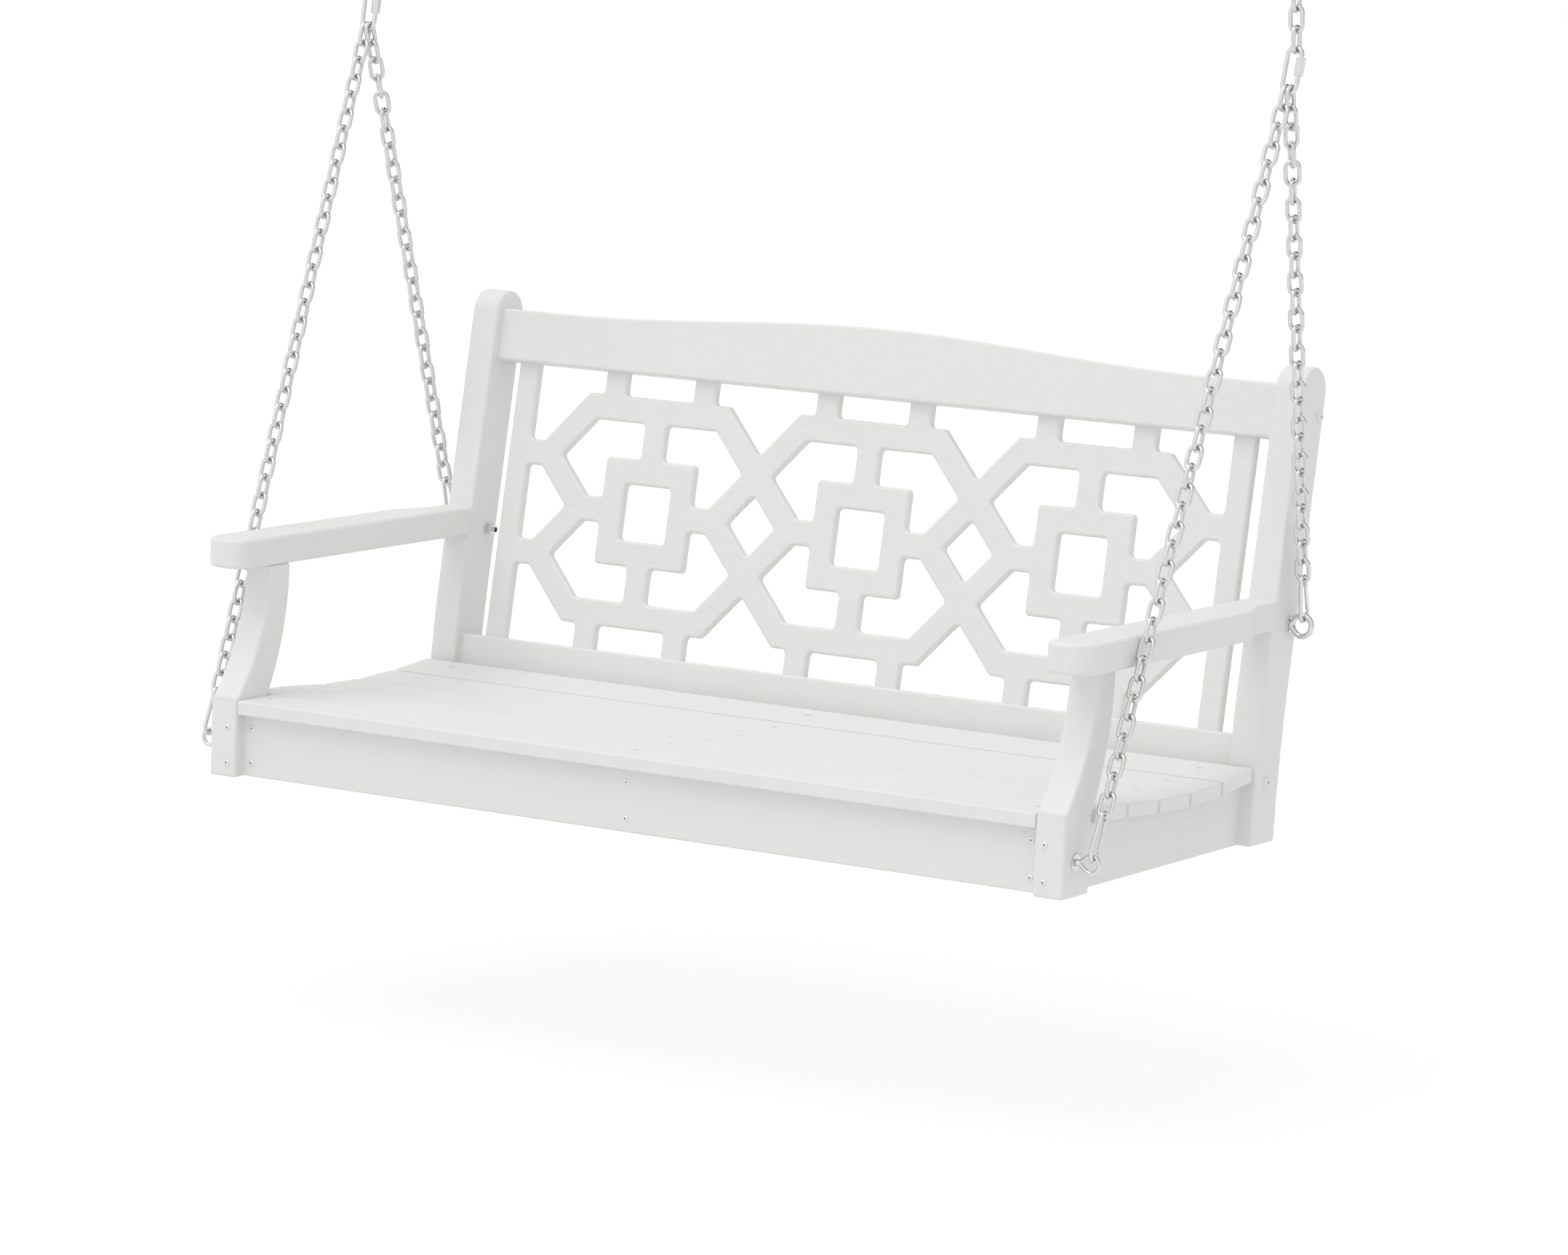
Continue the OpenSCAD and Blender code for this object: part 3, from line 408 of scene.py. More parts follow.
def board_material(name, scale, depth, slope=False):
    """White plastic lumber: fine lengthwise embossed grain, faint clouding."""
    m, nt, bsdf = new_mat(name)
    L = nt.links.new
    here = node(nt, "ShaderNodeTexCoord").outputs["Object"]
    turned = node(nt, "ShaderNodeMapping")
    if slope:
        turned.inputs["Rotation"].default_value = (LEAN, 0, 0)
    L(here, turned.inputs["Vector"])

    def stretched(k):
        st = node(nt, "ShaderNodeMapping")
        st.inputs["Scale"].default_value = [k * s for s in scale]
        L(turned.outputs["Vector"], st.inputs["Vector"])
        return st.outputs["Vector"]

    grain = noise(nt, stretched(1), 1.0, 4.0, 0.62)
    grain.node.inputs["Distortion"].default_value = 0.35
    fine = noise(nt, stretched(2.7), 1.0, 3.0, 0.6)
    cloud = noise(nt, here, 5.0, 3.0)
    speck = noise(nt, here, 900.0, 2.0)
    # grooves are pressed in: the low part of the noise is deepened
    gr = ramp(nt, grain, [(0.34, grey(0)), (0.5, grey(0.75)), (0.68, grey(1))])
    mix = node(nt, "ShaderNodeMath", operation="MULTIPLY_ADD")
    L(fine, mix.inputs[0])
    mix.inputs[1].default_value = 0.55
    L(gr, mix.inputs[2])
    pressed = bump(nt, mix.outputs[0], depth, 0.0002)
    L(bump(nt, speck, 0.18, 0.00005, pressed), bsdf.inputs["Normal"])
    # colour: white, a little greyer in the grooves and in broad patches
    low = 0.822 - 0.1 * depth
    c1 = ramp(nt, gr, [(0.0, (low, low + 0.001, low - 0.016)), (1.0, (0.826, 0.827, 0.81))])
    c2 = ramp(nt, cloud, [(0.35, (0.988, 0.989, 0.987)), (0.65, grey(1))])
    L(times(nt, c1, c2), bsdf.inputs["Base Color"])
    L(ramp(nt, fine, [(0.3, grey(0.46)), (0.7, grey(0.6))]), bsdf.inputs["Roughness"])
    bsdf.inputs["Specular IOR Level"].default_value = 0.35
    return m


def metal_material(name, low, high, rough_lo, rough_hi):
    """Plated or polished steel, faintly uneven in colour and gloss."""
    m, nt, bsdf = new_mat(name)
    L = nt.links.new
    here = node(nt, "ShaderNodeTexCoord").outputs["Object"]
    coarse = noise(nt, here, 260.0, 4.0, 0.6)
    L(ramp(nt, coarse, [(0.35, low), (0.62, high)]), bsdf.inputs["Base Color"])
    L(ramp(nt, coarse, [(0.35, grey(rough_hi)), (0.65, grey(rough_lo))]),
      bsdf.inputs["Roughness"])
    L(bump(nt, noise(nt, here, 520.0, 2.0), 0.12, 0.00003), bsdf.inputs["Normal"])
    bsdf.inputs["Metallic"].default_value = 1.0
    return m


def painted_shade_material(name, low):
    """Painted shade: a dark disc at the bottom of a screw's recess, in place of the shade that
    falls there.
    """
    m, nt, bsdf = new_mat(name)
    speck = noise(nt, node(nt, "ShaderNodeTexCoord").outputs["Object"], 700.0, 2.0)
    nt.links.new(ramp(nt, speck, [(0.3, (low, low, low + 0.002)), (0.7, grey(low + 0.08))]),
                 bsdf.inputs["Base Color"])
    bsdf.inputs["Roughness"].default_value = 0.6
    return m


def coat_material(name):
    """White paint on the bolts' heads."""
    m, nt, bsdf = new_mat(name)
    L = nt.links.new
    speck = noise(nt, node(nt, "ShaderNodeTexCoord").outputs["Object"], 500.0, 3.0)
    L(ramp(nt, speck, [(0.3, (0.78, 0.78, 0.77)), (0.7, (0.83, 0.83, 0.82))]),
      bsdf.inputs["Base Color"])
    L(bump(nt, speck, 0.3, 0.00005), bsdf.inputs["Normal"])
    bsdf.inputs["Roughness"].default_value = 0.35
    return m


# grain along X, Y or Z, or up the raked back; the slats and apron are smoother
GX = board_material("board_grain_x", (34, 760, 760), 0.24)
GX_SLAT = board_material("board_grain_slat", (30, 700, 700), 0.08)
GX_SMOOTH = board_material("board_grain_apron", (30, 700, 700), 0.05)
GY = board_material("board_grain_y", (760, 34, 760), 0.2)
GZ = board_material("board_grain_z", (700, 700, 30), 0.09)
GB = board_material("board_grain_back", (700, 700, 30), 0.1, slope=True)
ZINC = metal_material("zinc_chain", (0.68, 0.675, 0.675), (0.72, 0.715, 0.715), 0.2, 0.26)
STEEL = metal_material("polished_steel", (0.7, 0.69, 0.69), (0.75, 0.74, 0.74), 0.13, 0.18)
SCREW = metal_material("screw_steel", (0.8, 0.8, 0.8), (0.86, 0.86, 0.86), 0.34, 0.44)
# painted shade in the screw and bolt recesses: near black under the frame screws and bolts,
# light grey under the slat screws
RECESS_SHADE = painted_shade_material("recess_painted_shade", 0.17)
SLAT_RECESS_SHADE = painted_shade_material("slat_screw_recess_painted_shade", 0.6)
COAT = coat_material("white_coat")


# ---- boards ----

SIDES = (("right", 1), ("left", -1))


def both(make, name, mats, warp=None):
    """The right-hand board and its mirror image."""
    for side, s in SIDES:
        b = Build()
        make(b, s)
        b.piece(name + "_" + side, mats, warp=warp)


def ring_pts(c, r, a0, a1, k):
    return [(c[0] + r * math.cos(a0 + (a1 - a0) * i / k),
             c[1] + r * math.sin(a0 + (a1 - a0) * i / k)) for i in range(k + 1)]


# front posts: the hollow front and the hollow rear, each an arc that starts at
# the foot's top
BROW_Z, BROW_R, BROW_FOOT = 278.5, 276.8, 97.5
NAPE_Z, NAPE_R, NAPE_FOOT, POST_D = 262.2, 343.0, 92.5, 63.0
BROW_Y = -math.sqrt(BROW_R ** 2 - (BROW_Z - BROW_FOOT) ** 2)
NAPE_Y = POST_D - math.sqrt(NAPE_R ** 2 - (NAPE_Z - NAPE_FOOT) ** 2)
# the boards' eased edges, and the centre of the back posts' round heads
EDGE, HEAD_Z = 3.6, 555
# armrests: overhang inside the posts, corners, and the scoop of the outer edge
ARM_IN, ARM_REAR, ARM_R = 1.5, 520, (20, 28, 6)
SCOOP_Y, SCOOP_RUN = 398, 76


def front_post(b, s):
    a0 = math.asin((BROW_FOOT - BROW_Z) / BROW_R)
    a1 = math.asin((ARM_Z - BROW_Z) / BROW_R)
    b0 = math.asin((NAPE_FOOT - NAPE_Z) / NAPE_R)
    b1 = math.asin((ARM_Z - NAPE_Z) / NAPE_R)
    up = ring_pts((BROW_Y, BROW_Z), BROW_R, a0, a1, 22)
    down = ring_pts((NAPE_Y, NAPE_Z), NAPE_R, b1, b0, 22)
    p = [(0, 0, EDGE)] + up[:-1] + [(*up[-1], EDGE), (*down[0], EDGE)] + down[1:]
    p += [(POST_D, 0, EDGE)]
    prism(b, [outline(p[::-1])], XI, XO, on_side(SIDE, s), EDGE)


def back_post(b, s):
    rr = BRACE_R - BACK_D
    f0 = math.pi - math.asin(-BEND_Z / BRACE_R)
    g0 = math.pi - math.asin(-BEND_Z / rr)
    mid = BRACE_R - BACK_D / 2
    run = (HEAD_Z - BEND_Z - mid * math.sin(LEAN)) / math.cos(LEAN)
    head = (BEND_Y - mid * math.cos(LEAN) + run * math.sin(LEAN),
            BEND_Z + mid * math.sin(LEAN) + run * math.cos(LEAN))
    fr = ring_pts((BEND_Y, BEND_Z), BRACE_R, f0, math.pi - LEAN, 18)
    re = ring_pts((BEND_Y, BEND_Z), rr, math.pi - LEAN, g0, 18)
    top = ring_pts(head, BACK_D / 2, math.pi - LEAN, -LEAN, 34)
    p = [(*fr[0], EDGE)] + fr[1:] + top + re[:-1] + [(*re[-1], EDGE)]
    prism(b, [outline(p[::-1])], XI, XO, on_side(SIDE, s), EDGE)


def armrest(b, s):
    x0, x1 = XI - ARM_IN, XI - ARM_IN + ARM_W
    scoop = x1 - XO - 1
    inner, outer, rear = ARM_R
    pts = [(x0, 0, inner), (x1, 0, outer)]
    n = 18
    pts += [(x1 - scoop * (1 - math.cos(math.pi * i / n)) / 2, SCOOP_Y + SCOOP_RUN * i / n)
            for i in range(n + 1)]
    pts += [(x1 - scoop, ARM_REAR, rear), (x0, ARM_REAR, rear)]
    prism(b, [outline(pts, step=6)], ARM_Z, ARM_Z + ARM_T, on_side(PLAN, s), 5.0, steps=5)


def arm_warp(v):
    """Ends an armrest on the back post's sloping front face."""
    v = v.copy()
    for q in v:
        if q[1] > SCOOP_Y + SCOOP_RUN - 4:
            q[1] = min(q[1], post_front(q[2]))
    return v


both(front_post, "front_post", [GZ])
both(back_post, "back_post", [GB])
both(armrest, "armrest", [GY], warp=arm_warp)

# rails of the back; their ends run on into the posts, where they are hidden
RAIL_Y, RAIL_T, RAIL_LOW, TOP_H, CROWN = -11.6, 48.2, 183.0, 68.6, 20.4
CROWN_SPAN = 2 * XI * 0.4127
SILL_TOP, SILL_LOW = -184.5, -286.0
RAIL_END = XI + 4
b = Build()
top, n = RAIL_LOW + TOP_H, 60
pts = [(-RAIL_END, RAIL_LOW, EDGE), (RAIL_END, RAIL_LOW, EDGE), (RAIL_END, top, EDGE)]
for i in range(n + 1):
    u = 1 - 2 * i / n
    pts.append((CROWN_SPAN * u, top + CROWN * (1 + math.cos(math.pi * u)) / 2))
pts.append((-RAIL_END, top, EDGE))
prism(b, [outline(pts)], -(RAIL_Y + RAIL_T), -RAIL_Y, BFACE, EDGE)
b.piece("top_rail", [GX])


def box_outline(x0, x1, y0, y1, r):
    return outline([(x0, y0, r), (x1, y0, r), (x1, y1, r), (x0, y1, r)])


b = Build()
prism(b, [box_outline(-RAIL_END, RAIL_END, SILL_LOW, SILL_TOP, EDGE)],
      -(RAIL_Y + RAIL_T), -RAIL_Y, BFACE, EDGE)
b.piece("lower_back_rail", [GX])

# pierced panel: bars of one width round openings, three repeats; each opening
# is a list of corners in the first quarter of a repeat, u across and v up
# thickness, the bars' width, and the slanting bars' angle
PANEL_T, BAR, SLOPE = 13.6, 34.0, math.radians(48)
# the stiles' inner and outer edges, and the pitch of the three repeats
EDGE_IN, EDGE_OUT = XI - 61, XI - 29
PITCH = 2 * (EDGE_IN - 30) / 3
# half sizes of the window in the ring, heights of the long bars and crossings
HW, HH, BAR_V, CROSS_V = 35.5, 37.1, 135.3, 66.2
# half heights of the panel and of its openings, and the openings' corners
PANEL_V, HOLE_V, HOLE_R = 209.0, 197.0, 6.0
tm = math.tan(SLOPE)
slant = BAR / 2 / math.cos(SLOPE)
b_in, b_out = BAR_V - BAR / 2, BAR_V + BAR / 2
c_in = PITCH / 2 - (b_in - CROSS_V + slant) / tm
c_out = PITCH / 2 - (b_out - CROSS_V - slant) / tm
x_arm = PITCH / 2 - (CROSS_V - BAR / 2 + slant) / tm
ring_w, ring_h = HW + BAR, HH + BAR
stub_in = ring_w - BAR / 2
stub_out = stub_in + BAR
tip_u = PITCH / 2 - slant / tm
pocket = [(BAR / 2, b_in), (BAR / 2, ring_h), (ring_w, ring_h), (ring_w, BAR / 2),
          (x_arm, BAR / 2), (tip_u, CROSS_V), (c_in, b_in)]
window = [(-HW, HH), (HW, HH), (HW, -HH), (-HW, -HH)]
stub_gap = [(-stub_in, HOLE_V), (stub_in, HOLE_V), (stub_in, b_out), (-stub_in, b_out)]
valley = [(PITCH - stub_out, HOLE_V), (stub_out, HOLE_V), (stub_out, b_out), (c_out, b_out),
          (PITCH / 2, CROSS_V + slant), (PITCH - c_out, b_out), (PITCH - stub_out, b_out)]
diamond = [(PITCH / 2, CROSS_V - slant), (PITCH / 2 + (CROSS_V - slant) / tm, 0),
           (PITCH / 2, slant - CROSS_V), (PITCH / 2 - (CROSS_V - slant) / tm, 0)]
sh_u = PITCH * 1.5 + (slant - BAR / 2) / tm
shoulder = [(PITCH + stub_out, HOLE_V), (EDGE_IN, HOLE_V), (EDGE_IN, CROSS_V + BAR / 2),
            (sh_u, CROSS_V + BAR / 2), (PITCH + c_out, b_out), (PITCH + stub_out, b_out)]
side_eye = [(PITCH * 1.5 - (CROSS_V - slant) / tm, 0), (sh_u, CROSS_V - BAR / 2),
            (EDGE_IN, CROSS_V - BAR / 2), (EDGE_IN, BAR / 2 - CROSS_V),
            (sh_u, BAR / 2 - CROSS_V)]


def hole(pts, su=1, sv=1, du=0.0):
    """An opening, mirrored by su and sv and moved across by du."""
    q = [(x * su + du, y * sv) for x, y in pts]
    area = sum(q[i - 1][0] * q[i][1] - q[i][0] * q[i - 1][1] for i in range(len(q)))
    if area > 0:
        q = q[::-1]
    return outline([(x, y, HOLE_R) for x, y in q], step=15)


loops = [box_outline(-EDGE_OUT, EDGE_OUT, -PANEL_V, PANEL_V, 5)]
for k in (-1, 0, 1):
    loops.append(hole(window, du=k * PITCH))
    loops += [hole(pocket, su, sv, k * PITCH) for su in (-1, 1) for sv in (-1, 1)]
    loops += [hole(stub_gap, 1, sv, k * PITCH) for sv in (-1, 1)]
for k in (-1, 0):
    loops += [hole(valley, 1, sv, k * PITCH) for sv in (-1, 1)]
    loops.append(hole(diamond, du=k * PITCH))
loops += [hole(shoulder, su, sv) for su in (-1, 1) for sv in (-1, 1)]
loops += [hole(side_eye, su, 1) for su in (-1, 1)]
b = Build()
prism(b, loops, -PANEL_T, 0, BFACE, 4.2)
b.piece("back_panel", [GX])

# seat: each slat's front and rear edge have their height against SEAT_H
SEAT_H, SLAT_T, SLAT_W, SLAT_PITCH = 99.0, 18.0, 74.0, 79.6
S_FRONT = [0, -0.2, -2.6, -8.9, -10.4, -6.9]
S_REAR = [0, -2, -8.6, -10.2, -7.3, 0.1]
SLATS = 6
RIB_X = XI - 17.5
SCREW_X, SCREW_BACK = [3 - RIB_X, -5, RIB_X - 3], 8


def slat_z(k, f):
    return SEAT_H + (S_REAR[k] if f else S_FRONT[k])


def at_slat(k):
    a = math.atan2(S_REAR[k] - S_FRONT[k], SLAT_W)
    return mat((1, 0, 0), (0, math.cos(a), math.sin(a)), (0, -math.sin(a), math.cos(a)),
               (0, k * SLAT_PITCH + SLAT_W / 2, (slat_z(k, 0) + slat_z(k, 1)) / 2))


for k in range(SLATS):
    half = XI - 0.5 if k == 0 else XO - 2
    b = Build()
    holes = [(*circle((x, SCREW_BACK), 4.0, 24, True), 0.2) for x in SCREW_X]
    prism(b, [box_outline(-half, half, -SLAT_W / 2, SLAT_W / 2, 3)] + holes,
          -SLAT_T, 0, at_slat(k), 2.2, steps=5, ease=(0.8, 1))
    b.piece("seat_slat_%d" % (k + 1), [GX_SLAT])

APRON_FRONT, APRON_REAR, SLAT_GAP = 16.5, 35.5, 0.3
b = Build()
prism(b, [box_outline(-RAIL_END, RAIL_END, 1, SEAT_H - SLAT_T - SLAT_GAP, 3)],
      -APRON_REAR, -APRON_FRONT, FACE, 3)
b.piece("front_apron", [GX_SMOOTH])


def bearing(k0):
    """The line that the slats lie on, from slat k0 back."""
    return [(k * SLAT_PITCH + f * SLAT_W, slat_z(k, f) - SLAT_T - SLAT_GAP)
            for k in range(k0, SLATS) for f in (0, 1)]


def side_rail(b, s):
    rise = bearing(1)
    h = rise[-1][1]
    p = [(POST_D - 4, 0, 3), (POST_D - 4, rise[0][1], 3)] + rise[:-1]
    p += [(post_front(h) + 4, h, 3)]
    p += [(post_front(h * (1 - i / 6)) + 4, h * (1 - i / 6)) for i in range(1, 6)]
    p += [(post_front(0) + 4, 0, 3)]
    prism(b, [outline(p[::-1])], XI + 0.5, XI + 20.5, on_side(SIDE, s), 2.6)


both(side_rail, "side_rail", [GY])


def back_plane(d, z):
    """Depth, at a height, of the plane that lies d behind the lattice's."""
    return BACK_Y + d / math.cos(LEAN) + (z - BACK_Z) * math.tan(LEAN)


def rib(b, x, m):
    rise = bearing(0)
    h = rise[-1][1]
    p = [(APRON_REAR, 4, 2), (APRON_REAR, rise[0][1], 2)] + rise[1:-1]
    p += [(back_plane(RAIL_Y, h), h, 2)]
    p += [(back_plane(RAIL_Y, 38), 38, 2), (back_plane(RAIL_Y, 38) - 12, 4, 2)]
    prism(b, [outline(p[::-1])], x - 10, x + 10, m, 2.0)


both(lambda b, s: rib(b, RIB_X, on_side(SIDE, s)), "seat_rib", [GY])
b = Build()
rib(b, 0, SIDE)
b.piece("seat_rib_centre", [GY])


# ---- fasteners ----

def phillips(b, m, r=3.9, h=1.5):
    """Pan head with a cross recess and a disc of painted shade under it; local Z points out of
    the board.
    """
    a, w = r * 0.5, r * 0.1
    cross = [(a, -w), (a, w), (w, w), (w, a), (-w, a), (-w, w), (-a, w), (-a, -w), (-w, -w),
             (-w, -a), (w, -a), (w, -w)]
    hole_p = outline([(x, y, 0.12) for x, y in cross[::-1]], step=45)
    lathe(b, [(r, -0.6), (r, h * 0.15), (r * 0.96, h * 0.45), (r * 0.86, h * 0.75),
              (r * 0.72, h * 0.94), (r * 0.6, h)], m, 28, smooth=True)
    prism(b, [(*circle((0, 0), r * 0.61, 28), 0.02), (*hole_p, 0.1)], 0, h, m, 0.1)
    # slot 1: a disc under the cross, coloured as painted shade in the recess
    prism(b, [circle((0, 0), r * 0.55, 16)], -0.5, h * 0.25, m, 0.05, steps=1, slot=1)


def z_frame(o, z, x):
    """Frame at o whose Z points along z and whose X is as near to x as it can be."""
    z = unit(z)
    x = unit(np.array(x) - z * (np.array(x) @ z))
    return mat(x, np.cross(z, x), z, o)


# front and rear of the front posts, and the apron's front
POST_SX, APRON_SX, SCREW_Z = XI + 13.5, RIB_X + 4, (18.5, 63.5)
b = Build()
for i, z in enumerate(SCREW_Z):
    for s in (-1, 1):
        q = math.radians(23 + 37 * i + 11 * s)
        x = (math.cos(q), 0, math.sin(q))
        phillips(b, z_frame((s * POST_SX, 0, z), (0, -1, 0), x))
        ny = (z - BEND_Z) / (BRACE_R - BACK_D)
        phillips(b, z_frame((s * POST_SX, post_rear(z), z), (0, 1, -ny), x))
    for x0 in (-APRON_SX, 0, APRON_SX):
        q = math.radians(70 - 31 * i + x0)
        phillips(b, z_frame((x0, APRON_FRONT, z), (0, -1, 0), (math.cos(q), 0, math.sin(q))))
b.piece("frame_screws", [SCREW, RECESS_SHADE], slot="screw_steel")

b = Build()
for k in range(SLATS):
    for i, x in enumerate(SCREW_X):
        m = at_slat(k) @ shift(x, SCREW_BACK, -0.75) @ turn_z(17 + 41 * i + 29 * k)
        phillips(b, m, h=0.7)
b.piece("slat_screws", [SCREW, SLAT_RECESS_SHADE], slot="screw_steel")

# through the back posts into the armrests
b = Build()
zs, rear_r = ARM_Z + 12, BRACE_R - BACK_D
ys = (BEND_Y - rear_r * math.cos(LEAN)
      + (zs - BEND_Z - rear_r * math.sin(LEAN)) * math.tan(LEAN))
for s in (-1, 1):
    for x in (-10, 10):
        phillips(b, z_frame((s * (XI + XO) / 2 + x, ys, zs),
                            (0, math.cos(LEAN), -math.sin(LEAN)), (1, 0.2, 0.4)))
b.piece("arm_screws", [SCREW, RECESS_SHADE], slot="screw_steel")

# through the lower rail into the ribs
b = Build()
for x in (-RIB_X, 0, RIB_X):
    for v in (-268, -250):
        phillips(b, BACK @ z_frame((x, RAIL_Y + RAIL_T, v), (0, 1, 0), (1, 0, 0.5)))
b.piece("rib_screws", [SCREW, RECESS_SHADE], slot="screw_steel")

# button heads with a hexagon socket, where the rails are bolted to the posts
BOLTS = ((25.2, 217.3), (8.4, -239.2))
hexa = [(2.1 * math.cos(math.radians(60 * i)), 2.1 * math.sin(math.radians(60 * i)), 0.15)
        for i in range(6)]
b = Build()
for s in (-1, 1):
    for y, z in BOLTS:
        m = BACK @ z_frame((s * XO, y, z), (s, 0, 0), (0, 1, 0.3))
        lathe(b, [(7.8, -0.8), (7.8, 0.4), (7.6, 1.4), (7, 2.5), (6.1, 3.4), (5, 3.9), (4, 4)],
              m, 40, smooth=True)
        prism(b, [(*circle((0, 0), 4.05, 40), 0.02), (*outline(hexa[::-1], step=30), 0.2)],
              0, 4, m, 0.2)
        # slot 1: a disc under the hexagon socket, coloured as painted shade in the socket
        prism(b, [circle((0, 0), 2.6, 16)], -0.7, 1.4, m, 0.05, steps=1, slot=1)
b.piece("frame_bolts", [COAT, RECESS_SHADE], slot="coated_bolt")


# ---- eye bolts ----
# centres of the source's rings; the forged ones sit a little nearer the post
FRONT_EYE, REAR_EYE = v3(XO + 23.9, 28, 42), v3(XO + 19.3, 549.5, 269.6)
WASHER_T = 1.4


def eye_bolt(b, c, r, d, tip, neck_r, end_x, s):
    """Forged eye: a ring of radius r and wire d, drawn out to a point that
    flows into the shank, which ends at end_x."""
    m = on_side(shift(*c), s)
    q = math.degrees(math.acos(r / tip))
    loop = [(-tip, 0, 0)] + arc((0, 0), r, 180 - q, q - 180, 44) + [(-tip, 0, 0)]
    sweep(b, loop, d / 2, m, sides=18)
    x0 = XO + WASHER_T - c[0]
    x1 = max(-tip + 1.5, x0 + 2.5)
    prof = [(d / 2, end_x - c[0]), (d / 2, x0 - 0.1), (neck_r, x0), (neck_r, x0 + 1)]
    for i in range(1, 9):
        t = i / 8
        prof.append((neck_r + (d / 2 + 0.5 - neck_r) * t * t * (3 - 2 * t),
                     x0 + 1 + (x1 - x0) * t))
    prof.append((0, x1 + 2.2))
    lathe(b, prof, m @ SIDE, 28, smooth=True)


def hexagon(r, rc):
    return outline([(r * math.cos(math.radians(60 * i + 30)),
                     r * math.sin(math.radians(60 * i + 30)), rc) for i in range(6)], step=20)


def nut(b, x0, x1, c, flats, bore, s):
    prism(b, [hexagon(flats / math.sqrt(3), 0.5), (*circle((0, 0), bore, 24, True), 0.4)],
          x0, x1, on_side(shift(0, c[1], c[2]) @ SIDE, s), 0.5, steps=3)


def washer(b, x0, x1, c, r, bore, s):
    prism(b, [circle((0, 0), r, 36), (*circle((0, 0), bore, 24, True), 0.2)],
          x0, x1, on_side(shift(0, c[1], c[2]) @ SIDE, s), 0.4, steps=3)


front, rear, washers, nuts = Build(), Build(), Build(), Build()
for s in (1, -1):
    eye_bolt(front, FRONT_EYE - [2.5, 0, 0], 10.2, 5, 17.1, 3.8, XO - 2, s)
    eye_bolt(rear, REAR_EYE - [2, 0, 0], 12.9, 7.1, 15.2, 4.6, XI - 13, s)
    washer(washers, XO, XO + WASHER_T, FRONT_EYE, 10.5, 2.6, s)
    washer(washers, XO, XO + WASHER_T, REAR_EYE, 9.7, 3.6, s)
    washer(washers, XI - WASHER_T, XI, REAR_EYE, 8.5, 3.55, s)
    # a round collar against each outer washer, a nut inside on the rear bolt
    for eye, r, bore in ((FRONT_EYE, 4.5, 2.6), (REAR_EYE, 5.6, 3.6)):
        prism(nuts, [circle((0, 0), r, 32), (*circle((0, 0), bore, 24, True), 0.2)],
              XO + 1.5, XO + 3.7, on_side(shift(0, eye[1], eye[2]) @ SIDE, s), 0.7, steps=3)
    nut(nuts, XI - 8, XI - 1.5, REAR_EYE, 13, 3.55, s)
for b, name in ((front, "front_eye_bolts"), (rear, "rear_eye_bolts"),
                (washers, "eye_washers"), (nuts, "eye_nuts")):
    b.piece(name, [STEEL], slot="hook_steel")

# ---- chains, hooks and links; k = 0 is a side's front run, 1 its rear ----
PLAY, HANG_PLAY = 0.3, 1.5
# links: wire, inside length and bend radius, and how many in the upper chain
QUICK_D, QUICK_IN, QUICK_R = 6.0, 49.0, 9.25
UPPER_D, UPPER_IN, UPPER_R, UPPER_N = 5.6, 25.0, 7.9, 3
CHAIN_D, CHAIN_IN, CHAIN_R = 5.5, 23.95, 8.25
QUICK_LEG = QUICK_IN - 2 * QUICK_R + QUICK_D
SLEEVE_L, SLEEVE_TOP = 22.0, QUICK_LEG / 2 - 2.5
# ceiling eye: wire and radius of the ring, underside of the collar, thread
EYE_D, EYE_R = 8.0, 14.0
COLLAR, THREAD, TURNS = EYE_R + 6, 1.5, 44
# the way up from the quick link's lower bend to the ceiling eye
QUICK_DIR, UPPER_DIR = v3(0.041, 0.202, 0.978), v3(-0.02, -0.052, 0.998)
UPPER_STEP = UPPER_IN - PLAY
UPPER_FIRST = (UPPER_IN + UPPER_D) / 2 - (QUICK_D + UPPER_D) / 2 - PLAY
EYE_RISE = UPPER_DIR * (UPPER_FIRST + (UPPER_N - 1) * UPPER_STEP + (UPPER_IN + UPPER_D) / 2
                        - (UPPER_D + EYE_D) / 2 - PLAY)
QUICK_RISE = QUICK_DIR * (QUICK_IN + QUICK_D)
APEX = v3(XO + 53.5 - QUICK_RISE[0] - EYE_RISE[0], 372.7, 933.5)
QUICK_TOP = APEX + QUICK_RISE
CEILING_EYE = QUICK_TOP + EYE_RISE
# hook: the source's wire, which places it, the shown wire's radius, the two
# bends' radii and their distance, and the gate's pin
HOOK_D, HOOK_WIRE, HOOK_WIDE, HOOK_TIGHT, HOOK_LEN = 5.0, 2.75, 9.0, 5.6, 44.4
HOOK_TURN = math.degrees(math.asin((HOOK_WIDE - HOOK_TIGHT) / HOOK_LEN))
PIN_W, PIN_V = 5.6, 41.2
# the source's eyes: wire, and the point that a hook hangs on
EYE_WIRE = (5.0, 6.9)
EYE_TOP = (FRONT_EYE + [0, 0, 9.75], REAR_EYE + [0, 0, 12.4])
# a side's two chains hang side by side on the quick link's lower bend
SIDE_STEP = 2.9
SIDE_LIFT = QUICK_R - math.sqrt(QUICK_R ** 2 - SIDE_STEP ** 2)
QUICK_ROLL = math.atan2(QUICK_DIR[0], QUICK_DIR[2])
# links over which a run's top turns to suit the quick link
TWIST_LINKS = 6


def hang(s, k):
    """Where a run hangs on the quick link."""
    across = v3(math.cos(QUICK_ROLL), 0, -math.sin(QUICK_ROLL))
    return APEX + (2 * k - 1) * s * SIDE_STEP * across + SIDE_LIFT * unit(QUICK_DIR)


def run_dir(s, k):
    return unit(hang(s, k) - EYE_TOP[k])


def hook_at(k):
    """Distance from the eye's wire up to the hook's wide bend."""
    return HOOK_WIDE - (EYE_WIRE[k] + HOOK_D) / 2 - PLAY


def at_hook(s, k):
    d = run_dir(s, k)
    return aim(EYE_TOP[k] + d * hook_at(k), d) @ turn_z(90)


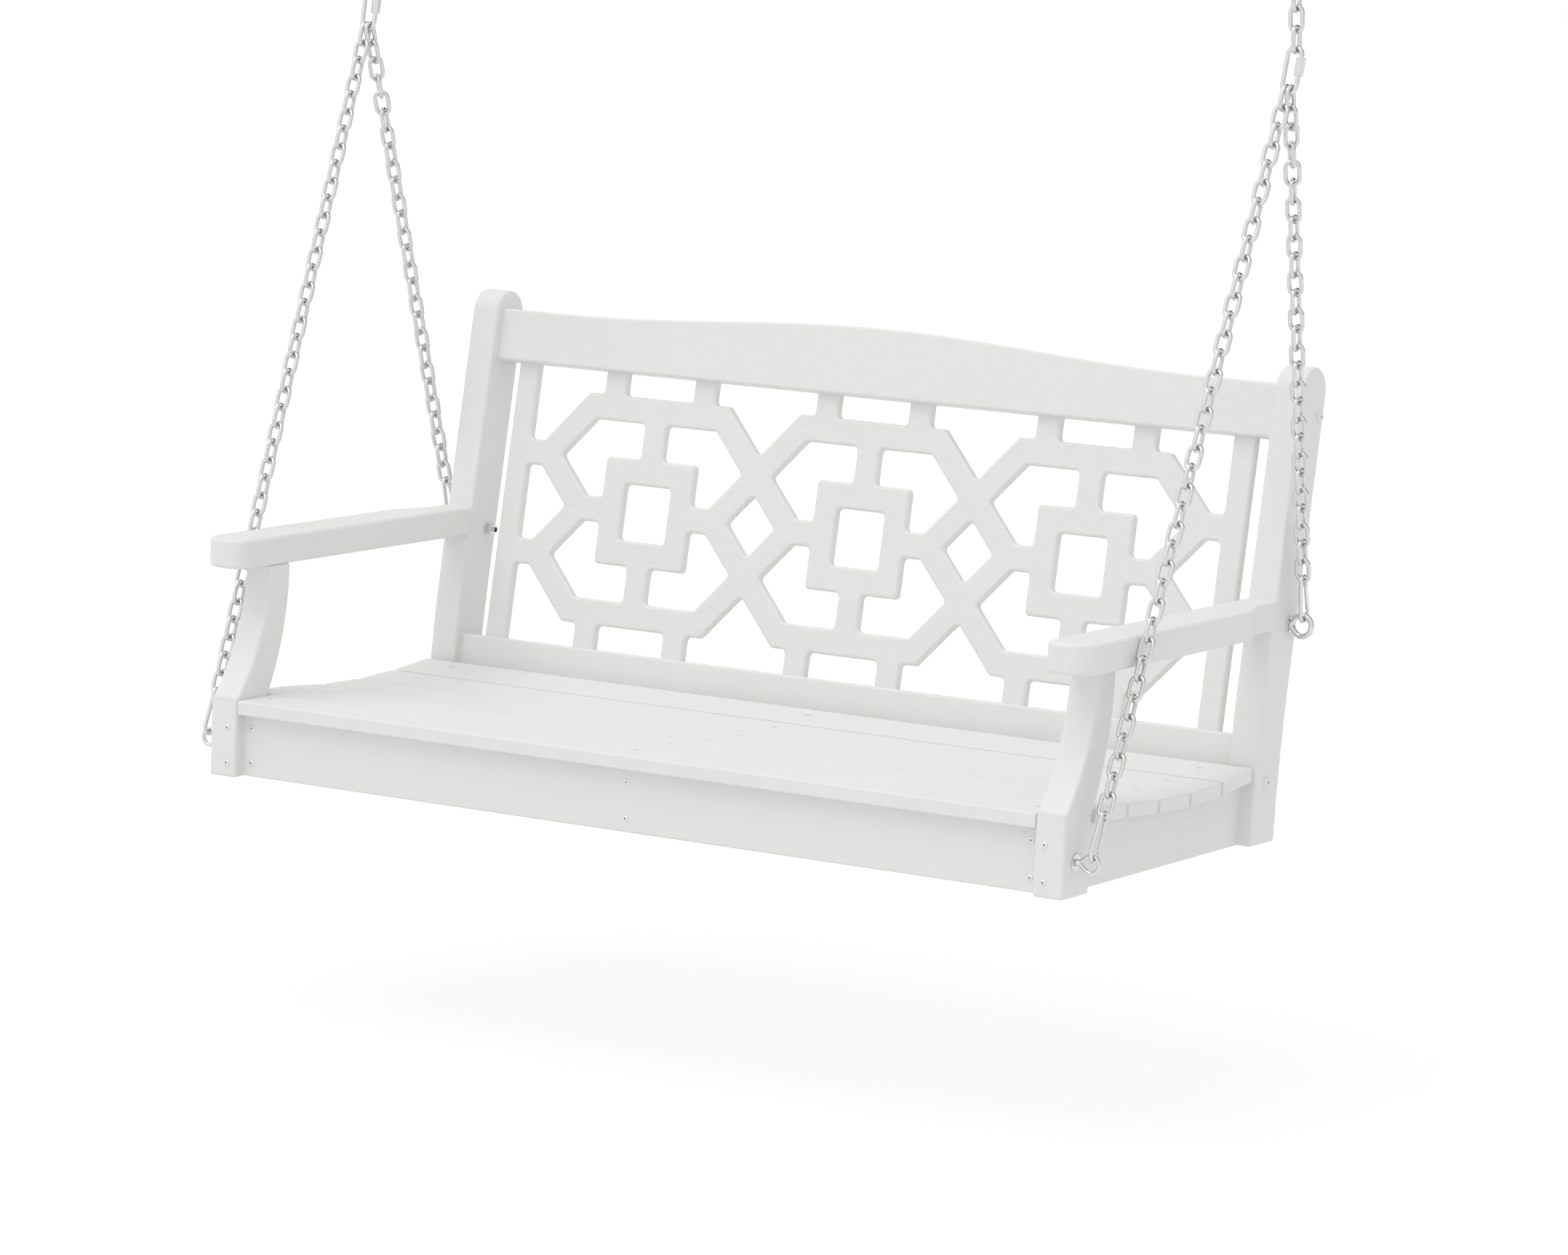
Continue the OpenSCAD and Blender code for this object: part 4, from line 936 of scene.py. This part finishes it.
def hook_body(b, m):
    """Hook in its own frame: wide bend at the origin, narrow bend above."""
    t = HOOK_TURN
    path = [(12.2, 0, 3.7), (10.9, 0, 1.9), (9.6, 0, 0.1)]
    rad = [1.15, 1.7, 2.3]
    low = arc((0, 0), HOOK_WIDE, -10, -180 - t, 24)
    top = arc((0, HOOK_LEN), HOOK_TIGHT, 180 - t, 24, 16)
    path += low + top
    path += [(5.35, 0, HOOK_LEN + 0.4), (5.75, 0, PIN_V + 1.2), (PIN_W, 0, PIN_V - 1)]
    rad += [HOOK_WIRE] * (len(low) + len(top)) + [2.5, 2.1, 1.0]
    sweep(b, path, rad, m, sides=16)
    # flattened eye round the pin, and the pin's two heads
    pin = m @ mat((0, 0, 1), (1, 0, 0), (0, 1, 0), (PIN_W, 0, PIN_V))
    prism(b, [circle((0, 0), 2.3, 20)], -0.9, 0.9, pin, 0.3, steps=2)
    prism(b, [circle((0, 0), 1.1, 16)], -2.9, 2.9, pin, 0.5, steps=2)


def gate(b, m):
    """The spring gate: a rod with two cheeks that hold the pin."""
    root, end = v3(PIN_W, 0, PIN_V), v3(HOOK_WIDE - 0.1, 0, 3.4)
    d = unit(end - root)
    sweep(b, [root + d * 0.8, root + d * 2, end - d * 6, end - d * 1.2, end],
          [1.9, 2.3, 2.35, 2.3, 1.8], m, sides=16)
    pin = m @ mat((0, 0, 1), (1, 0, 0), (0, 1, 0), root)
    a = math.atan2(d[0], d[2])
    cheek = [(2.4 * math.cos(q), 2.4 * math.sin(q))
             for q in np.linspace(a + math.pi / 2, a + 3 * math.pi / 2, 12)]
    cheek += [(*(v3(d[2], d[0]) * 5.5 + v3(-d[0], d[2]) * w), 0.4) for w in (-2, 2)]
    for x0, x1 in ((-2.5, -1.2), (1.2, 2.5)):
        prism(b, [outline(cheek)], x0, x1, pin, 0.3, steps=2)


def chain(b, s, k):
    """A taut run from its hook up to the quick link, its links turned in turn."""
    d = run_dir(s, k)
    half, leg = (CHAIN_IN + CHAIN_D) / 2, (CHAIN_IN - 2 * CHAIN_R + CHAIN_D) / 2
    low = hook_at(k) + HOOK_LEN + HOOK_TIGHT - (HOOK_D + CHAIN_D) / 2 - PLAY + half
    high = (np.linalg.norm(hang(s, k) - EYE_TOP[k]) - leg
            - (CHAIN_R - (CHAIN_D + QUICK_D) / 2 - HANG_PLAY))
    n = 1 + math.ceil((high - low) / CHAIN_IN)
    twist = 0 if n % 2 == 0 else 90 * s
    for i in range(n):
        turn = 90 * (i % 2) + twist * max(0, i - n + 1 + TWIST_LINKS) / TWIST_LINKS
        m = aim(EYE_TOP[k] + d * (low + (high - low) * i / (n - 1)), d) @ turn_z(turn)
        sweep(b, stadium(CHAIN_R, CHAIN_D, CHAIN_IN), CHAIN_D / 2, on_side(m, s), True)


def quick_link(b, m):
    """Open link: two bends and one leg; the sleeve bridges the other leg."""
    h = QUICK_LEG / 2
    path = [(QUICK_R, 0, SLEEVE_TOP - 2), (QUICK_R, 0, h - 0.3)]
    path += arc((0, h), QUICK_R, 0, 180, 18) + arc((0, -h), QUICK_R, 180, 360, 18)
    path += [(QUICK_R, 0, 2 - h), (QUICK_R, 0, SLEEVE_TOP - 8.6)]
    sweep(b, path, QUICK_D / 2, m, sides=18, ends="flat")


def quick_sleeve(b, m):
    """Hexagonal sleeve on the open leg."""
    prism(b, [hexagon(5.9, 0.6), (*circle((0, 0), 3.1, 24, True), 0.4)],
          SLEEVE_TOP - SLEEVE_L, SLEEVE_TOP, m @ shift(QUICK_R, 0, 0), 0.9, steps=3)


def upper_chain(b, s):
    """The short heavier chain from the quick link to the ceiling eye."""
    for i in range(UPPER_N):
        m = aim(QUICK_TOP + UPPER_DIR * (UPPER_FIRST + i * UPPER_STEP), UPPER_DIR)
        sweep(b, stadium(UPPER_R, UPPER_D, UPPER_IN), UPPER_D / 2,
              on_side(m @ turn_z(90 * ((i + 1) % 2)), s), True, 16)


def ceiling_eye(b, m):
    """A ring under a round collar, and a threaded shank above it."""
    t = COLLAR
    sweep(b, arc((0, 0), EYE_R, 0, 360, 48)[:-1], EYE_D / 2, m, True, 20)
    lathe(b, [(4.2, EYE_R), (6.3, t - 0.3), (11.4, t), (12, t + 0.6), (12, t + 3.6),
              (11.6, t + 4), (5, t + 4)], m, 48)
    shank = [(5, t + 4)]
    for i in range(TURNS):
        z = t + 6 + THREAD * i
        shank += [(4.55, z), (5, z + THREAD / 2)]
    shank += [(5, t + 73), (4.2, t + 74), (0, t + 74)]
    lathe(b, shank, m, 40)


QUICK = aim(APEX + QUICK_DIR * (QUICK_IN + QUICK_D) / 2, QUICK_DIR)
for side, s in SIDES:
    # the left quick link is turned, not mirrored
    quick = QUICK if s > 0 else mirror(QUICK) @ mirror(PLAN)
    eye = on_side(shift(*(CEILING_EYE + [0, 0, EYE_R])), s)
    parts = []
    for k, end in ((0, "front"), (1, "rear")):
        tag, at = end + "_" + side, on_side(at_hook(s, k), s)
        parts += [("snap_hook_" + tag, hook_body, (at,), STEEL, "seat"),
                  ("hook_gate_" + tag, gate, (at,), STEEL, "gate_" + tag),
                  ("seat_chain_" + tag, chain, (s, k), ZINC, "seat")]
    parts += [("quick_link_" + side, quick_link, (quick,), STEEL, "hangers"),
              ("quick_sleeve_" + side, quick_sleeve, (quick,), STEEL, "sleeve_" + side),
              ("upper_chain_" + side, upper_chain, (s,), ZINC, "hangers"),
              ("ceiling_eye_" + side, ceiling_eye, (eye,), STEEL, "ceiling")]
    for name, make, args, metal, body in parts:
        b = Build()
        make(b, *args)
        b.piece(name, [metal], body, "chain_steel" if metal is ZINC else "hook_steel")

# the dowels' own solids stay, in the posts' material
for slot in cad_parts["arm_dowels"].material_slots:
    slot.material = GZ

# ---- stage ----
# the floor lies 300 mm below the seat
FLOOR_Z, FLOOR_HALF = (-300 - ORG[2]) / 1000, 30.0
fm = bpy.data.meshes.new("floor")
fm.from_pydata([(x * FLOOR_HALF, y * FLOOR_HALF, FLOOR_Z)
                for x, y in ((-1, -1), (1, -1), (1, 1), (-1, 1))], [], [(0, 1, 2, 3)])
floor = bpy.data.objects.new("floor", fm)
bpy.context.scene.collection.objects.link(floor)
m = bpy.data.materials.new("studio_floor")
m.use_nodes = True
nt = m.node_tree
nt.nodes.clear()
L = nt.links.new
out = node(nt, "ShaderNodeOutputMaterial")
dif = node(nt, "ShaderNodeBsdfDiffuse")
dif.inputs["Color"].default_value = (0.86, 0.86, 0.86, 1)
# what the camera and the metal see: nearly white, with a faint soft shadow
shade = node(nt, "ShaderNodeBsdfDiffuse")
shade.inputs["Color"].default_value = (0.2, 0.2, 0.2, 1)
emi = node(nt, "ShaderNodeEmission")
emi.inputs["Color"].default_value = (1, 1, 1, 1)
emi.inputs["Strength"].default_value = 0.815
seen = node(nt, "ShaderNodeAddShader")
L(shade.outputs[0], seen.inputs[0])
L(emi.outputs[0], seen.inputs[1])
lp = node(nt, "ShaderNodeLightPath")
amount = node(nt, "ShaderNodeMath", operation="MAXIMUM")
L(lp.outputs["Is Camera Ray"], amount.inputs[0])
L(lp.outputs["Is Glossy Ray"], amount.inputs[1])
pick = node(nt, "ShaderNodeMixShader")
L(amount.outputs[0], pick.inputs[0])
L(dif.outputs[0], pick.inputs[1])
L(seen.outputs[0], pick.inputs[2])
L(pick.outputs[0], out.inputs["Surface"])
fm.materials.append(m)

world = bpy.data.worlds.new("studio")
bpy.context.scene.world = world
world.use_nodes = True
nt = world.node_tree
nt.nodes.clear()
L = nt.links.new
out = node(nt, "ShaderNodeOutputWorld")
soft = node(nt, "ShaderNodeBackground")
soft.inputs["Color"].default_value = (1, 1, 1, 1)
soft.inputs["Strength"].default_value = 0.8
white = node(nt, "ShaderNodeBackground")
white.inputs["Strength"].default_value = 1.0
white.inputs["Color"].default_value = (1, 1, 1, 1)
room = node(nt, "ShaderNodeBackground")
room.inputs["Strength"].default_value = 1.05
direction_of = node(nt, "ShaderNodeTexCoord").outputs["Generated"]


def lobe(direction, stops):
    """A grey that depends on how far a direction is from the one given."""
    dot = node(nt, "ShaderNodeVectorMath", operation="DOT_PRODUCT")
    L(direction_of, dot.inputs[0])
    dot.inputs[1].default_value = unit(v3(*direction)) * 0.5
    add = node(nt, "ShaderNodeMath", operation="ADD")
    L(dot.outputs["Value"], add.inputs[0])
    add.inputs[1].default_value = 0.5
    return ramp(nt, add.outputs[0], [(p, grey(g)) for p, g in stops])


# what the metal mirrors, a studio: white towards the key light, greyer behind,
# and two dark flags
studio = lobe((-0.48, -0.85, 0.25), [(0.1, 0.7), (0.45, 0.8), (0.75, 0.95), (0.9, 1)])
for direction, half in (((0.09, 0.92, 0.38), 0.03), ((0.95, -0.1, -0.3), 0.012)):
    flag = lobe(direction, [(1 - 2 * half, 1), (1 - half, 0.03)])
    studio = times(nt, studio, flag)
L(studio, room.inputs["Color"])
lp = node(nt, "ShaderNodeLightPath")
for_metal = node(nt, "ShaderNodeMixShader")
for_camera = node(nt, "ShaderNodeMixShader")
L(lp.outputs["Is Glossy Ray"], for_metal.inputs[0])
L(soft.outputs[0], for_metal.inputs[1])
L(room.outputs[0], for_metal.inputs[2])
L(lp.outputs["Is Camera Ray"], for_camera.inputs[0])
L(for_metal.outputs[0], for_camera.inputs[1])
L(white.outputs[0], for_camera.inputs[2])
L(for_camera.outputs[0], out.inputs["Surface"])

sun = bpy.data.lights.new("key", "SUN")
sun.energy = 0.8
sun.angle = math.radians(50)
so = bpy.data.objects.new("key", sun)
so.matrix_world = Vector((-0.25, -0.38, 0.89)).to_track_quat("Z", "Y").to_matrix().to_4x4()
bpy.context.scene.collection.objects.link(so)

# ---- camera, at the photograph's angle ----
PHOTO_W, FOCAL_PX = 2156, 8430.96
az, el, rl = math.radians(31.60), math.radians(8.22), math.radians(2.15)
back_v = v3(math.sin(az) * math.cos(el), -math.cos(az) * math.cos(el), math.sin(el))
right = unit(np.cross(-back_v, (0, 0, 1)))
up = np.cross(right, -back_v)
cx = right * math.cos(rl) + up * math.sin(rl)
cy = -right * math.sin(rl) + up * math.cos(rl)
# its place, solved for a seat of which this one is a scaled copy
SOLVED_POS, SOLVED_SCALE = v3(4213.64, -6462.34, 1389.69), 0.95403
pos = (SOLVED_SCALE * SOLVED_POS - ORG) / 1000
cam = bpy.data.cameras.new("camera")
cam.sensor_fit = "HORIZONTAL"
cam.sensor_width = 36.0
cam.lens = FOCAL_PX / PHOTO_W * 36
cam.clip_end = 200
co = bpy.data.objects.new("camera", cam)
co.matrix_world = Matrix([[cx[i], cy[i], back_v[i], pos[i]] for i in range(3)]
                         + [[0, 0, 0, 1]])
bpy.context.scene.collection.objects.link(co)
bpy.context.scene.camera = co
bpy.context.scene.view_settings.view_transform = "Standard"
